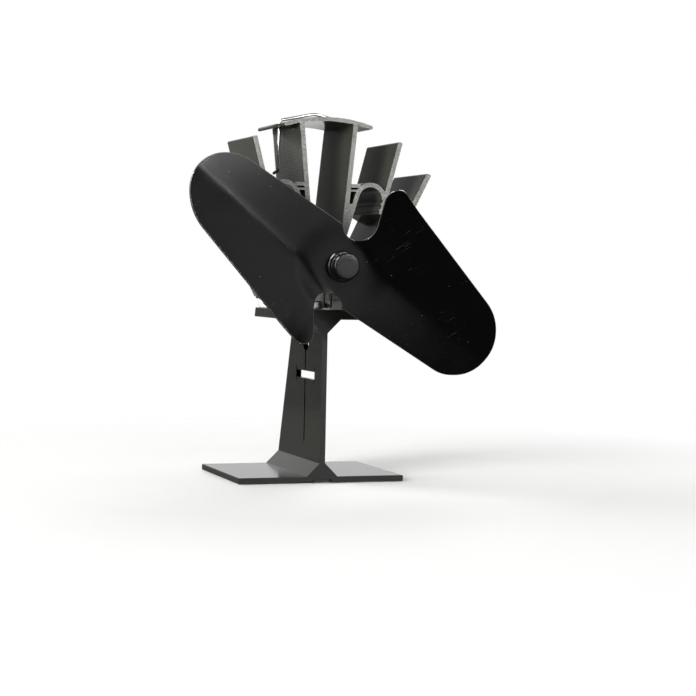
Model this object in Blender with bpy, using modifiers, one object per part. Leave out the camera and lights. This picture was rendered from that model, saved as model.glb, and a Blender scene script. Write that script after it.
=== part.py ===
"""Heat-powered stove fan: stand, generator, finned heat sink, small motor, two-lobed blade, lifting bail.

Metres, +Z up. The fan looks along -Y. Sizes are written in the design frame, where X = 0 is the plane of
symmetry, Y = 0 is the front face of the stand and Z = 0 is the stove top. At the end the whole assembly
is moved along Y, so that the middle of its bounding box stands over the world origin.
"""

import math

import bmesh
import bpy
import numpy as np
from mathutils import Matrix, Vector

MM = 0.001

# Stand: one aluminium extrusion, cut to length along Y
FOOT_WIDTH = 112.7 * MM
FOOT_DEPTH = 87.7 * MM
FOOT_THICKNESS = 4.0 * MM
FOOT_GUSSET = 8.7 * MM
WEB_THICKNESS = 3.6 * MM
STAND_HEIGHT = 112.0 * MM
TABLE_WIDTH = 58.6 * MM
TABLE_DEPTH = 58.2 * MM
TABLE_THICKNESS = 6.3 * MM
TABLE_GUSSET = 8.9 * MM
EDGE_RADIUS = 0.6 * MM
GROOVE_WIDTH = 12.9 * MM
GROOVE_DEPTH = 2.0 * MM

# Cut-outs in the web, which slow the heat on its way up
WEB_HOLE_DIAMETER = 12.0 * MM
WEB_HOLE_HEIGHT = 90.0 * MM
WEB_CUT_DEPTH = 33.0 * MM
SLIT_WIDTH = 1.8 * MM
SLIT_FOOT_HEIGHT = 24.0 * MM
WINDOW_LENGTH = 37.4 * MM
WINDOW_HEIGHT = 5.0 * MM
WINDOW_MIDDLE_HEIGHT = 68.4 * MM
WINDOW_END_SLIT = 1.2 * MM
WINDOW_END_LENGTH = 10.5 * MM

# Bimetal strip that tips the fan when the stove is too hot, and its rivet
STRIP_WIDTH = 12.0 * MM
STRIP_THICKNESS = 0.8 * MM
STRIP_LENGTH = 60.0 * MM
STRIP_FRONT_INSET = 0.8 * MM
STRIP_ROOF_GAP = 0.4 * MM
STRIP_TAIL = 6.0 * MM
RIVET_DIAMETER = 3.0 * MM
RIVET_HEAD_DIAMETER = 6.0 * MM
RIVET_HEAD_THICKNESS = 0.5 * MM
RIVET_DEPTH = 1.4 * MM
RIVET_GAP = 0.25 * MM

# Thermoelectric generator, a square sandwich between the stand and the heat sink
MODULE_SIZE = 40.0 * MM
CERAMIC_THICKNESS = 1.0 * MM
CORE_THICKNESS = 2.0 * MM
CORE_INSET = 0.7 * MM
PAD_THICKNESS = 0.6 * MM
PAD_MARGIN = 1.0 * MM
STACK_GAP = 0.1 * MM

# Clamp screws, each with a spring washer and an insulating bush
SCREW_DIAMETER = 4.0 * MM
SCREW_HEAD_DIAMETER = 7.6 * MM
SCREW_HEAD_THICKNESS = 1.7 * MM
SCREW_SOCKET_WIDTH = 2.5 * MM
SCREW_SOCKET_DEPTH = 1.0 * MM
SCREW_SPACING = 49.4 * MM
SCREW_GRIP = 3.4 * MM
BUSH_WALL = 0.9 * MM
BUSH_FLANGE_DIAMETER = 8.4 * MM
BUSH_FLANGE_THICKNESS = 0.8 * MM
WASHER_DIAMETER = 8.0 * MM
WASHER_THICKNESS = 0.6 * MM
RECESS_DEPTH = 3.8 * MM
FIT_GAP = 0.3 * MM

# Heat sink: one aluminium extrusion with fins that fan out. Rises start at the top of its bottom plate
SINK_DEPTH = 58.2 * MM
SINK_PLATE_WIDTH = 58.6 * MM
SINK_PLATE_THICKNESS = 4.4 * MM
CHANNEL_RADIUS = 16.2 * MM
CHANNEL_WALL = 2.8 * MM
CHANNEL_OVERLAP = 1.2 * MM
INNER_FIN_TOP_REACH = 20.0 * MM
INNER_FIN_AXIS_REACH = 10.9 * MM
INNER_FIN_THICKNESS = 3.2 * MM
SECOND_FIN_TOP_REACH = 49.6 * MM
SECOND_FIN_TOP_RISE = 99.6 * MM
SECOND_FIN_HIGH_KNEE_REACH = 37.2 * MM
SECOND_FIN_HIGH_KNEE_RISE = 52.6 * MM
SECOND_FIN_LOW_KNEE_REACH = 43.5 * MM
SECOND_FIN_LOW_KNEE_RISE = 48.7 * MM
SECOND_FIN_FOOT_REACH = 19.5 * MM
SECOND_FIN_THICKNESS = 3.0 * MM
THIRD_FIN_TOP_REACH = 70.2 * MM
THIRD_FIN_TOP_RISE = 79.6 * MM
THIRD_FIN_FOOT_INSET = 0.4 * MM
THIRD_FIN_THICKNESS = 3.3 * MM
FIN_TIP_RADIUS = 1.0 * MM
SERRATION_PITCH = 1.4 * MM
SERRATION_DEPTH = 0.35 * MM
SERRATED_LENGTH = 33.6 * MM
ARCH_RADIUS = 9.5 * MM
ARCH_THICKNESS = 2.9 * MM
ARCH_MIDDLE_REACH = 29.4 * MM
ARCH_MIDDLE_RISE = 61.8 * MM
ARCH_LEG_LEAN = 17.2
ARCH_LEG_DROP = 33.5 * MM
UPPER_LINK_RISE = 70.2 * MM
UPPER_LINK_THICKNESS = 2.2 * MM
MIDDLE_LINK_RISE = 67.1 * MM
MIDDLE_LINK_THICKNESS = 1.4 * MM
LOWER_LINK_TOP_RISE = 58.5 * MM
LOWER_LINK_HEIGHT = 10.5 * MM
RIB_COUNT = 4
RIB_PITCH = 4.0 * MM
RIB_WIDTH = 1.6 * MM
RIB_REACH = 0.8 * MM
LOWEST_RIB_RISE = 54.6 * MM
ROOF_WIDTH = 60.1 * MM
ROOF_BOW = 4.2 * MM
ROOF_THICKNESS = 2.6 * MM
ROOF_TOP_RISE = 113.7 * MM

# Carrying bail: a bent wire that slides in two holes through the roof
BAIL_WIRE_DIAMETER = 2.0 * MM
BAIL_LEG_SPACING = 48.8 * MM
BAIL_PEAK_RISE = 4.1 * MM
BAIL_SHOULDER_GAP = 0.6 * MM
BAIL_LEG_LENGTH = 32.2 * MM
BAIL_BEND_RADIUS = 3.0 * MM
BAIL_PEAK_RADIUS = 14.0 * MM
BAIL_HOOK_LENGTH = 9.6 * MM
BAIL_HOOK_DROP = 1.6 * MM
BAIL_HOOK_BEND = 1.6 * MM
BAIL_HOLE_CLEARANCE = 0.5 * MM

# Motor, held in the round channel by a split rubber sleeve
MOTOR_DIAMETER = 27.7 * MM
MOTOR_LENGTH = 38.0 * MM
MOTOR_FRONT_REACH = 16.0 * MM
CAN_WALL = 0.9 * MM
CAN_EDGE = 1.2 * MM
BOSS_DIAMETER = 8.4 * MM
BOSS_LENGTH = 2.2 * MM
BEARING_DIAMETER = 6.0 * MM
BEARING_LENGTH = 3.0 * MM
SHAFT_DIAMETER = 2.3 * MM
SHAFT_CLEARANCE = 0.08 * MM
SHAFT_NOSE = 38.2 * MM
SHAFT_TAIL = 1.2 * MM
MAGNET_THICKNESS = 2.6 * MM
MAGNET_LENGTH = 26.0 * MM
MAGNET_ARC = 130.0
MAGNET_FRONT_INSET = 2.0 * MM
ARMATURE_GAP = 0.6 * MM
ARMATURE_LENGTH = 20.0 * MM
ARMATURE_HUB_DIAMETER = 8.6 * MM
POLE_NECK_WIDTH = 3.4 * MM
POLE_SHOE_THICKNESS = 1.5 * MM
POLE_SHOE_ARC = 92.0
POLE_COUNT = 3
WINDING_THICKNESS = 1.7 * MM
COMMUTATOR_DIAMETER = 5.6 * MM
COMMUTATOR_LENGTH = 4.6 * MM
END_CAP_THICKNESS = 2.6 * MM
BRUSH_WIDTH = 2.6 * MM
BRUSH_THICKNESS = 0.5 * MM
BRUSH_LENGTH = 5.6 * MM
TERMINAL_SPACING = 13.0 * MM
TERMINAL_WIDTH = 2.8 * MM
TERMINAL_THICKNESS = 0.5 * MM
TERMINAL_LENGTH = 4.6 * MM
SLEEVE_LENGTH = 16.0 * MM
SLEEVE_INSET = 1.0 * MM
SLEEVE_SLOT_ARC = 44.0

# Leads from the generator to the motor
LEAD_DIAMETER = 1.5 * MM
LEAD_SPACING = 4.8 * MM
LEAD_FRONT_REACH = 3.3 * MM
LEAD_DIP = 1.6 * MM
LEAD_BEND = 2.4 * MM
LEAD_TAIL_GAP = 3.2 * MM

# Blade: sheet metal with two lobes, alike when turned half round
BLADE_REACH = 30.4 * MM
BLADE_THICKNESS = 1.2 * MM
BLADE_TIP_RADIUS = 25.0 * MM
BLADE_TIP_SIDE = 102.5 * MM
BLADE_TIP_TOP = 68.2 * MM
BLADE_SHOULDER_SIDE = 68.5 * MM
BLADE_SHOULDER_RADIUS = 23.0 * MM
BLADE_HEEL_TOP = 30.2 * MM
BLADE_HEEL_RADIUS = 32.0 * MM
BLADE_EAR_SIDE = 25.1 * MM
BLADE_EAR_DROP = 58.6 * MM
BLADE_EAR_RADIUS = 7.7 * MM
NOTCH_OUTER_SIDE = 19.5 * MM
NOTCH_INNER_SIDE = 0.3 * MM
NOTCH_DEPTH = 16.8 * MM
NOTCH_RADIUS = 9.6 * MM
NOTCH_LIP_DROP = 26.6 * MM
NOTCH_LIP_RADIUS = 1.4 * MM
BLADE_HOLE_DIAMETER = 6.6 * MM
BLADE_FLAT_RADIUS = 12.0 * MM
BLADE_BLEND_RADIUS = 34.0 * MM
CREASE_ANGLE = 141.2
CREASE_OFFSET = 10.4 * MM
CREASE_BEND = 2.5 * MM
LOBE_LEAN = 0.039
FOLD_SLOPE = 0.334
FOLD_INSET = 2.9 * MM
FOLD_BEND = 4.0 * MM
EAR_CURL_RADIUS = 227.0 * MM
EAR_CURL_START = 15.0 * MM
EAR_CURL_END = -15.0 * MM
STRIP_TILT = 0.115
TILT_REACH = 110.0 * MM
SHEET_PITCH = 4.4 * MM
SHEET_LONG_PITCH = 10.0 * MM

# Hub behind the blade, and the knob that clamps the blade from the front
HUB_FLANGE_DIAMETER = 18.0 * MM
HUB_FLANGE_THICKNESS = 1.8 * MM
HUB_BOSS_DIAMETER = 9.0 * MM
HUB_BOSS_LENGTH = 7.0 * MM
HUB_SPIGOT_DIAMETER = 6.0 * MM
KNOB_FLANGE_DIAMETER = 20.0 * MM
KNOB_FLANGE_THICKNESS = 1.6 * MM
KNOB_DIAMETER = 16.8 * MM
KNOB_WAIST_DIAMETER = 15.4 * MM
KNOB_RIM_LENGTH = 2.6 * MM
KNOB_LENGTH = 9.2 * MM
KNOB_CHAMFER = 0.7 * MM

# How finely curves are faceted, in degrees, and how far a cutter overruns what it cuts
SMALL_ARC_STEP = 18.0
LARGE_ARC_STEP = 6.0
ROUND_STEPS = 40
PIN_STEPS = 20
OVERRUN = 2.0 * MM
MERGE_DISTANCE = 0.001 * MM

# Exact quarter turns: what lies flat comes to face -Y, and what faces -Y comes to face +X
LYING_TO_FACING = Matrix(((1, 0, 0, 0), (0, 0, -1, 0), (0, 1, 0, 0), (0, 0, 0, 1)))
FACING_TO_SIDEWAYS = Matrix(((0, -1, 0, 0), (1, 0, 0, 0), (0, 0, 1, 0), (0, 0, 0, 1)))

# What follows from the sizes above
CORE_BOTTOM = STAND_HEIGHT + PAD_THICKNESS + CERAMIC_THICKNESS + 3 * STACK_GAP
SINK_BOTTOM = STAND_HEIGHT + 2 * (PAD_THICKNESS + CERAMIC_THICKNESS) + CORE_THICKNESS + 6 * STACK_GAP
SINK_PLATE_TOP = SINK_BOTTOM + SINK_PLATE_THICKNESS
AXIS_HEIGHT = SINK_PLATE_TOP + CHANNEL_RADIUS + CHANNEL_WALL - CHANNEL_OVERLAP
ROOF_TOP_HEIGHT = SINK_PLATE_TOP + ROOF_TOP_RISE
MIDDLE_DEPTH = SINK_DEPTH / 2
SCREW_REACH = SCREW_SPACING / 2
BUSH_BORE_RADIUS = SCREW_DIAMETER / 2 + FIT_GAP
BUSH_RADIUS = BUSH_BORE_RADIUS + BUSH_WALL
TABLE_BOTTOM = STAND_HEIGHT - TABLE_THICKNESS
RECESS_TOP = TABLE_BOTTOM + RECESS_DEPTH
RECESS_RADIUS = BUSH_FLANGE_DIAMETER / 2 + FIT_GAP
BUSH_FLANGE_BOTTOM = RECESS_TOP - FIT_GAP - BUSH_FLANGE_THICKNESS
WASHER_BOTTOM = BUSH_FLANGE_BOTTOM - STACK_GAP - WASHER_THICKNESS
SCREW_HEAD_TOP = WASHER_BOTTOM - STACK_GAP
CAN_RADIUS = MOTOR_DIAMETER / 2
CAN_BORE_RADIUS = CAN_RADIUS - CAN_WALL
MOTOR_REAR_REACH = MOTOR_FRONT_REACH - MOTOR_LENGTH
MAGNET_OUTER_RADIUS = CAN_BORE_RADIUS - FIT_GAP / 2
MAGNET_INNER_RADIUS = MAGNET_OUTER_RADIUS - MAGNET_THICKNESS
ARMATURE_RADIUS = MAGNET_INNER_RADIUS - ARMATURE_GAP
MAGNET_FRONT_REACH = MOTOR_FRONT_REACH - CAN_WALL - MAGNET_FRONT_INSET
ARMATURE_MIDDLE_REACH = MAGNET_FRONT_REACH - MAGNET_LENGTH / 2
BEARING_BORE_RADIUS = SHAFT_DIAMETER / 2 + SHAFT_CLEARANCE
BEARING_SEAT_RADIUS = BEARING_DIAMETER / 2 + FIT_GAP / 2
STRIP_PIVOT_DEPTH = STRIP_FRONT_INSET + STRIP_LENGTH - STRIP_TAIL
STRIP_TOP = GROOVE_DEPTH - STRIP_ROOF_GAP
STRIP_MIDDLE = STRIP_TOP - STRIP_THICKNESS / 2
BAIL_RADIUS = BAIL_WIRE_DIAMETER / 2
BLADE_BACK_REACH = BLADE_REACH - BLADE_THICKNESS
KNOB_BACK_REACH = BLADE_REACH + STACK_GAP
KNOB_FRONT_REACH = KNOB_BACK_REACH + KNOB_LENGTH


def clear_scene():
    """Empty the file of objects, so that the script starts alike every time."""
    for leftover in list(bpy.data.objects):
        bpy.data.objects.remove(leftover, do_unlink=True)


def make_collection(name):
    """A collection under the scene's own."""
    collection = bpy.data.collections.new(name)
    bpy.context.scene.collection.children.link(collection)
    return collection


def make_material(name, colour, roughness, metallic):
    """A Principled surface of one colour."""
    material = bpy.data.materials.new(name)
    material.use_nodes = True
    surface = material.node_tree.nodes["Principled BSDF"]
    surface.inputs["Base Color"].default_value = (*colour, 1.0)
    surface.inputs["Roughness"].default_value = roughness
    surface.inputs["Metallic"].default_value = metallic
    material.diffuse_color = (*colour, 1.0)
    return material


def make_materials():
    """Every finish on the fan."""
    return {
        "black_anodised": make_material("black_anodised_aluminium", (0.022, 0.023, 0.022), 0.42, 0.8),
        "blade_black": make_material("blade_satin_black", (0.012, 0.012, 0.012), 0.5, 0.3),
        "steel_wire": make_material("bright_steel_wire", (0.62, 0.62, 0.6), 0.22, 1.0),
        "knob_plastic": make_material("dark_moulded_plastic", (0.03, 0.032, 0.033), 0.4, 0.0),
        "ceramic": make_material("alumina_ceramic", (0.78, 0.77, 0.72), 0.6, 0.0),
        "graphite": make_material("graphite_foil", (0.06, 0.06, 0.065), 0.6, 0.2),
        "silicone": make_material("sealed_generator_core", (0.55, 0.55, 0.52), 0.7, 0.0),
        "bimetal": make_material("bimetal_strip", (0.5, 0.42, 0.3), 0.35, 1.0),
        "zinc_steel": make_material("zinc_plated_steel", (0.6, 0.6, 0.6), 0.3, 1.0),
        "fibre": make_material("insulating_fibre", (0.2, 0.13, 0.08), 0.8, 0.0),
        "rubber": make_material("black_rubber", (0.02, 0.02, 0.02), 0.85, 0.0),
        "can_steel": make_material("nickel_plated_can", (0.5, 0.5, 0.48), 0.3, 1.0),
        "magnet": make_material("ferrite_magnet", (0.05, 0.05, 0.055), 0.7, 0.0),
        "bronze": make_material("sintered_bronze", (0.45, 0.27, 0.12), 0.5, 1.0),
        "lamination": make_material("lamination_steel", (0.35, 0.35, 0.36), 0.5, 1.0),
        "copper": make_material("enamelled_copper", (0.6, 0.22, 0.08), 0.35, 1.0),
        "brass": make_material("tinned_brass", (0.6, 0.5, 0.25), 0.35, 1.0),
        "end_cap": make_material("nylon_end_cap", (0.6, 0.58, 0.5), 0.5, 0.0),
        "brown_insulation": make_material("brown_lead_sleeve", (0.03, 0.016, 0.012), 0.5, 0.0),
        "black_insulation": make_material("black_lead_sleeve", (0.02, 0.02, 0.02), 0.5, 0.0),
    }


def evaluated_mesh(source):
    """The object's mesh as its modifiers leave it, with loose duplicates merged."""
    bpy.context.view_layer.update()
    graph = bpy.context.evaluated_depsgraph_get()
    mesh = bpy.data.meshes.new_from_object(source.evaluated_get(graph))
    work = bmesh.new()
    work.from_mesh(mesh)
    bmesh.ops.remove_doubles(work, verts=work.verts, dist=MERGE_DISTANCE)
    bmesh.ops.recalc_face_normals(work, faces=work.faces)
    work.to_mesh(mesh)
    work.free()
    return mesh


def settle(part):
    """Apply the part's modifiers and its own place, so that its mesh is in the design frame."""
    mesh = evaluated_mesh(part)
    mesh.transform(part.matrix_world)
    part.modifiers.clear()
    part.data = mesh
    part.matrix_world = Matrix.Identity(4)
    return part


def combine(part, tool, operation):
    """Join the tool to the part, cut it from the part or keep what both share, and discard the tool."""
    step = part.modifiers.new(operation.lower(), "BOOLEAN")
    step.operation = operation
    step.solver = "EXACT"
    step.object = tool
    settle(part)
    bpy.data.objects.remove(tool, do_unlink=True)
    return part


def add_object(name, data):
    """A new object in the scene that holds the given data."""
    part = bpy.data.objects.new(name, data)
    bpy.context.scene.collection.objects.link(part)
    return part


def rounded_outline(corners, step):
    """A closed outline through corners (x, z, radius), with an arc of that radius at each corner."""
    outline = []
    for index, (across, up, radius) in enumerate(corners):
        here = Vector((across, up))
        before = (Vector(corners[index - 1][:2]) - here).normalized()
        after = (Vector(corners[(index + 1) % len(corners)][:2]) - here).normalized()
        opening = before.angle(after)
        if radius == 0 or math.isclose(opening, math.pi):
            outline.append(here)
            continue
        middle = here + (before + after).normalized() * (radius / math.sin(opening / 2))
        start = here + before * (radius / math.tan(opening / 2)) - middle
        turn = math.pi - opening
        if before.x * after.y - before.y * after.x > 0:
            turn = -turn
        parts = max(2, math.ceil(math.degrees(abs(turn)) / step))
        for part in range(parts + 1):
            angle = turn * part / parts
            outline.append(middle + Matrix.Rotation(angle, 2) @ start)
    return outline


def arc_points(middle, radius, start, end, step):
    """Points along an arc from one angle to another, in degrees."""
    parts = max(2, math.ceil(abs(end - start) / step))
    points = []
    for part in range(parts + 1):
        angle = math.radians(start + (end - start) * part / parts)
        points.append(middle + Vector((math.cos(angle), math.sin(angle))) * radius)
    return points


def stroke_outline(path, thickness):
    """The outline of a band of even thickness along a path of points."""
    left = []
    right = []
    for index, point in enumerate(path):
        before = path[max(index - 1, 0)]
        after = path[min(index + 1, len(path) - 1)]
        along = (after - before).normalized()
        aside = Vector((-along.y, along.x)) * (thickness / 2)
        left.append(point + aside)
        right.append(point - aside)
    return left + right[::-1]


def prism(name, outlines, front, back):
    """A solid with the given outlines in X and Z, from front to back along Y."""
    curve = bpy.data.curves.new(name, "CURVE")
    curve.dimensions = "2D"
    curve.fill_mode = "BOTH"
    curve.extrude = (back - front) / 2
    for outline in outlines:
        spline = curve.splines.new("POLY")
        spline.points.add(len(outline) - 1)
        for corner, point in zip(spline.points, outline):
            corner.co = (point[0], point[1], 0, 1)
        spline.use_cyclic_u = True
    flat = add_object(name + "_outline", curve)
    part = add_object(name, evaluated_mesh(flat))
    bpy.data.objects.remove(flat, do_unlink=True)
    part.data.transform(LYING_TO_FACING)
    part.data.transform(Matrix.Translation((0, (front + back) / 2, 0)))
    return part


def upright_prism(name, outlines, bottom, top):
    """A solid with the given outlines in X and Y, from bottom to top."""
    part = prism(name, outlines, -top, -bottom)
    part.data.transform(LYING_TO_FACING.inverted())
    return part


def sideways_prism(name, outlines, left, right):
    """A solid with the given outlines in Y and Z, from left to right along X."""
    part = prism(name, outlines, -right, -left)
    part.data.transform(FACING_TO_SIDEWAYS)
    return part


def box(name, low, high):
    """A block between two corners."""
    work = bmesh.new()
    size = Vector(high) - Vector(low)
    middle = (Vector(high) + Vector(low)) / 2
    bmesh.ops.create_cube(work, size=1, matrix=Matrix.Translation(middle) @ Matrix.Diagonal((*size, 1)))
    mesh = bpy.data.meshes.new(name)
    work.to_mesh(mesh)
    work.free()
    return add_object(name, mesh)


def turned(name, profile, steps, closed=False):
    """A turned solid about the motor's axis, from a profile of (radius, reach ahead of the stand's front)."""
    mesh = bpy.data.meshes.new(name)
    edges = [(index, index + 1) for index in range(len(profile) - 1)]
    if closed:
        edges.append((len(profile) - 1, 0))
    mesh.from_pydata([(radius, 0, reach) for radius, reach in profile], edges, [])
    part = add_object(name, mesh)
    screw = part.modifiers.new("turn", "SCREW")
    screw.axis = "Z"
    screw.angle = math.radians(360)
    screw.steps = steps
    screw.render_steps = steps
    screw.use_merge_vertices = True
    screw.merge_threshold = MERGE_DISTANCE
    settle(part)
    part.data.transform(LYING_TO_FACING)
    part.data.transform(Matrix.Translation((0, 0, AXIS_HEIGHT)))
    return smooth(part)


def ring_profile(inner, outer, rear, front):
    """The profile of a plain ring."""
    return [(outer, front), (outer, rear), (inner, rear), (inner, front)]


def upright_turned(name, profile, steps, place, closed=False):
    """A turned solid about an upright axis at place: a profile of (radius, height)."""
    part = turned(name, profile, steps, closed)
    part.data.transform(Matrix.Translation((0, 0, -AXIS_HEIGHT)))
    part.data.transform(LYING_TO_FACING.inverted())
    part.data.transform(Matrix.Translation((*place, 0)))
    return part


def tube(name, path, diameter, resolution):
    """A wire of round section along a path of points, with filled ends."""
    curve = bpy.data.curves.new(name, "CURVE")
    curve.dimensions = "3D"
    curve.bevel_depth = diameter / 2
    curve.bevel_resolution = resolution
    curve.use_fill_caps = True
    spline = curve.splines.new("POLY")
    spline.points.add(len(path) - 1)
    for corner, point in zip(spline.points, path):
        corner.co = (*point, 1)
    wire = add_object(name + "_path", curve)
    part = add_object(name, evaluated_mesh(wire))
    bpy.data.objects.remove(wire, do_unlink=True)
    return smooth(part)


def smooth(part, angle=40):
    """Shade round faces smooth and keep the corners sharp."""
    part.data.shade_smooth()
    part.data.set_sharp_from_angle(angle=math.radians(angle))
    return part


def shift(points, across, up):
    """Points moved across and up."""
    return [Vector((point[0] + across, point[1] + up)) for point in points]


def circle(radius, steps):
    """A round outline about the middle."""
    return arc_points(Vector((0, 0)), radius, 0, 360 * (steps - 1) / steps, 360 / steps)


def rectangle(left, right, bottom, top):
    """A plain four-cornered outline."""
    return [(left, bottom), (right, bottom), (right, top), (left, top)]


def stand_profile():
    """The stand's section below the table: foot with a groove in its underside, gussets and web."""
    foot = FOOT_WIDTH / 2
    groove = GROOVE_WIDTH / 2
    web = WEB_THICKNESS / 2
    right = [
        (groove, GROOVE_DEPTH, 0),
        (groove, 0, 0),
        (foot, 0, EDGE_RADIUS),
        (foot, FOOT_THICKNESS, EDGE_RADIUS),
        (web + FOOT_GUSSET, FOOT_THICKNESS, EDGE_RADIUS),
        (web, FOOT_THICKNESS + FOOT_GUSSET, EDGE_RADIUS),
        (web, TABLE_BOTTOM - TABLE_GUSSET, EDGE_RADIUS),
        (web + TABLE_GUSSET, TABLE_BOTTOM, 0),
        (web + TABLE_GUSSET, TABLE_BOTTOM + TABLE_THICKNESS / 2, 0),
    ]
    left = [(-across, up, radius) for across, up, radius in reversed(right)]
    return rounded_outline(right + left, SMALL_ARC_STEP * 2)


def plate_profile(width, bottom, top):
    """The section of a flat plate with slightly rounded edges."""
    half = width / 2
    corners = rectangle(-half, half, bottom, top)
    return rounded_outline([(across, up, EDGE_RADIUS) for across, up in corners], SMALL_ARC_STEP * 2)


def rear_wedge():
    """What is cut away behind the stand, so that its web narrows from the foot to the table."""
    knee = FOOT_THICKNESS + FOOT_GUSSET
    slope = (FOOT_DEPTH - TABLE_DEPTH) / (STAND_HEIGHT - knee)
    past_top = TABLE_DEPTH - slope * OVERRUN
    outline = [
        (FOOT_DEPTH, knee),
        (FOOT_DEPTH + OVERRUN, knee),
        (FOOT_DEPTH + OVERRUN, STAND_HEIGHT + OVERRUN),
        (past_top, STAND_HEIGHT + OVERRUN),
    ]
    reach = max(TABLE_WIDTH, FOOT_WIDTH) / 2 + OVERRUN
    return sideways_prism("rear_wedge", [outline], -reach, reach)


def window_outline():
    """The window in the web: a low slot with a taller slit at each end, as one outline."""
    inner = WINDOW_LENGTH / 2 - WINDOW_END_SLIT
    outer = WINDOW_LENGTH / 2
    low = WINDOW_HEIGHT / 2
    high = WINDOW_END_LENGTH / 2
    right = [(inner, -low), (inner, -high), (outer, -high), (outer, high), (inner, high), (inner, low)]
    return right + [(-across, up) for across, up in reversed(right)]


def web_cutters():
    """Cutters through the web: the window, and a round hole with the slit that runs down from it."""
    reach = WEB_THICKNESS / 2 + OVERRUN
    hole = shift(circle(WEB_HOLE_DIAMETER / 2, ROUND_STEPS), WEB_CUT_DEPTH, WEB_HOLE_HEIGHT)
    left = WEB_CUT_DEPTH - SLIT_WIDTH / 2
    slit = rectangle(left, left + SLIT_WIDTH, SLIT_FOOT_HEIGHT, WEB_HOLE_HEIGHT)
    window = shift(window_outline(), WEB_CUT_DEPTH, WINDOW_MIDDLE_HEIGHT)
    return [
        sideways_prism("web_hole", [hole], -reach, reach),
        sideways_prism("web_window", [window], -reach, reach),
        sideways_prism("web_slit", [slit], -reach, reach),
    ]


def build_stand():
    """The stand: extruded section, cut back behind, pierced through web and table, drilled for the rivet."""
    stand = prism("stand", [stand_profile()], 0, FOOT_DEPTH)
    table = plate_profile(TABLE_WIDTH, TABLE_BOTTOM, STAND_HEIGHT)
    combine(stand, prism("table", [table], 0, FOOT_DEPTH), "UNION")
    combine(stand, rear_wedge(), "DIFFERENCE")
    for cutter in web_cutters():
        combine(stand, cutter, "DIFFERENCE")
    for side in (-1, 1):
        bore = shift(circle(BUSH_RADIUS + FIT_GAP, PIN_STEPS), side * SCREW_REACH, MIDDLE_DEPTH)
        cutter = upright_prism("screw_bore", [bore], TABLE_BOTTOM - OVERRUN, STAND_HEIGHT + OVERRUN)
        combine(stand, cutter, "DIFFERENCE")
        recess = shift(circle(RECESS_RADIUS, PIN_STEPS), side * SCREW_REACH, MIDDLE_DEPTH)
        cutter = upright_prism("screw_recess", [recess], TABLE_BOTTOM - OVERRUN, RECESS_TOP)
        combine(stand, cutter, "DIFFERENCE")
    rivet_bore = shift(circle(RIVET_DIAMETER / 2 + STACK_GAP, PIN_STEPS), 0, STRIP_PIVOT_DEPTH)
    cutter = upright_prism("rivet_bore", [rivet_bore], 0, GROOVE_DEPTH + RIVET_DEPTH + STACK_GAP)
    return [combine(stand, cutter, "DIFFERENCE")]


def build_bimetal():
    """The bimetal strip in the foot's groove, with a rounded nose, and the rivet at its rear end."""
    half = STRIP_WIDTH / 2
    back = STRIP_FRONT_INSET + STRIP_LENGTH
    corners = [
        (-half, STRIP_FRONT_INSET, STRIP_THICKNESS),
        (half, STRIP_FRONT_INSET, STRIP_THICKNESS),
        (half, back, STRIP_THICKNESS),
        (-half, back, STRIP_THICKNESS),
    ]
    outline = rounded_outline(corners, SMALL_ARC_STEP)
    hole = shift(circle(RIVET_DIAMETER / 2 + FIT_GAP, PIN_STEPS), 0, STRIP_PIVOT_DEPTH)
    strip = upright_prism("bimetal_strip", [outline, hole], STRIP_TOP - STRIP_THICKNESS, STRIP_TOP)
    head_top = STRIP_TOP - STRIP_THICKNESS - RIVET_GAP
    profile = [
        (0, GROOVE_DEPTH + RIVET_DEPTH),
        (RIVET_DIAMETER / 2, GROOVE_DEPTH + RIVET_DEPTH),
        (RIVET_DIAMETER / 2, head_top),
        (RIVET_HEAD_DIAMETER / 2, head_top),
        (RIVET_HEAD_DIAMETER / 2, head_top - RIVET_HEAD_THICKNESS),
        (0, head_top - RIVET_HEAD_THICKNESS),
    ]
    rivet = upright_turned("bimetal_rivet", profile, PIN_STEPS, (0, STRIP_PIVOT_DEPTH))
    return strip, rivet


def build_generator():
    """The sandwich between stand and heat sink: pad, ceramic, sealed core, ceramic, pad."""
    layers = (
        ("lower_thermal_pad", PAD_THICKNESS, -PAD_MARGIN),
        ("generator_hot_plate", CERAMIC_THICKNESS, 0),
        ("generator_core", CORE_THICKNESS, CORE_INSET),
        ("generator_cold_plate", CERAMIC_THICKNESS, 0),
        ("upper_thermal_pad", PAD_THICKNESS, -PAD_MARGIN),
    )
    bottom = STAND_HEIGHT + STACK_GAP
    parts = {}
    for name, thickness, inset in layers:
        half = MODULE_SIZE / 2 - inset
        low = (-half, MIDDLE_DEPTH - half, bottom)
        high = (half, MIDDLE_DEPTH + half, bottom + thickness)
        parts[name] = box(name, low, high)
        bottom += thickness + STACK_GAP
    return parts


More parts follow.
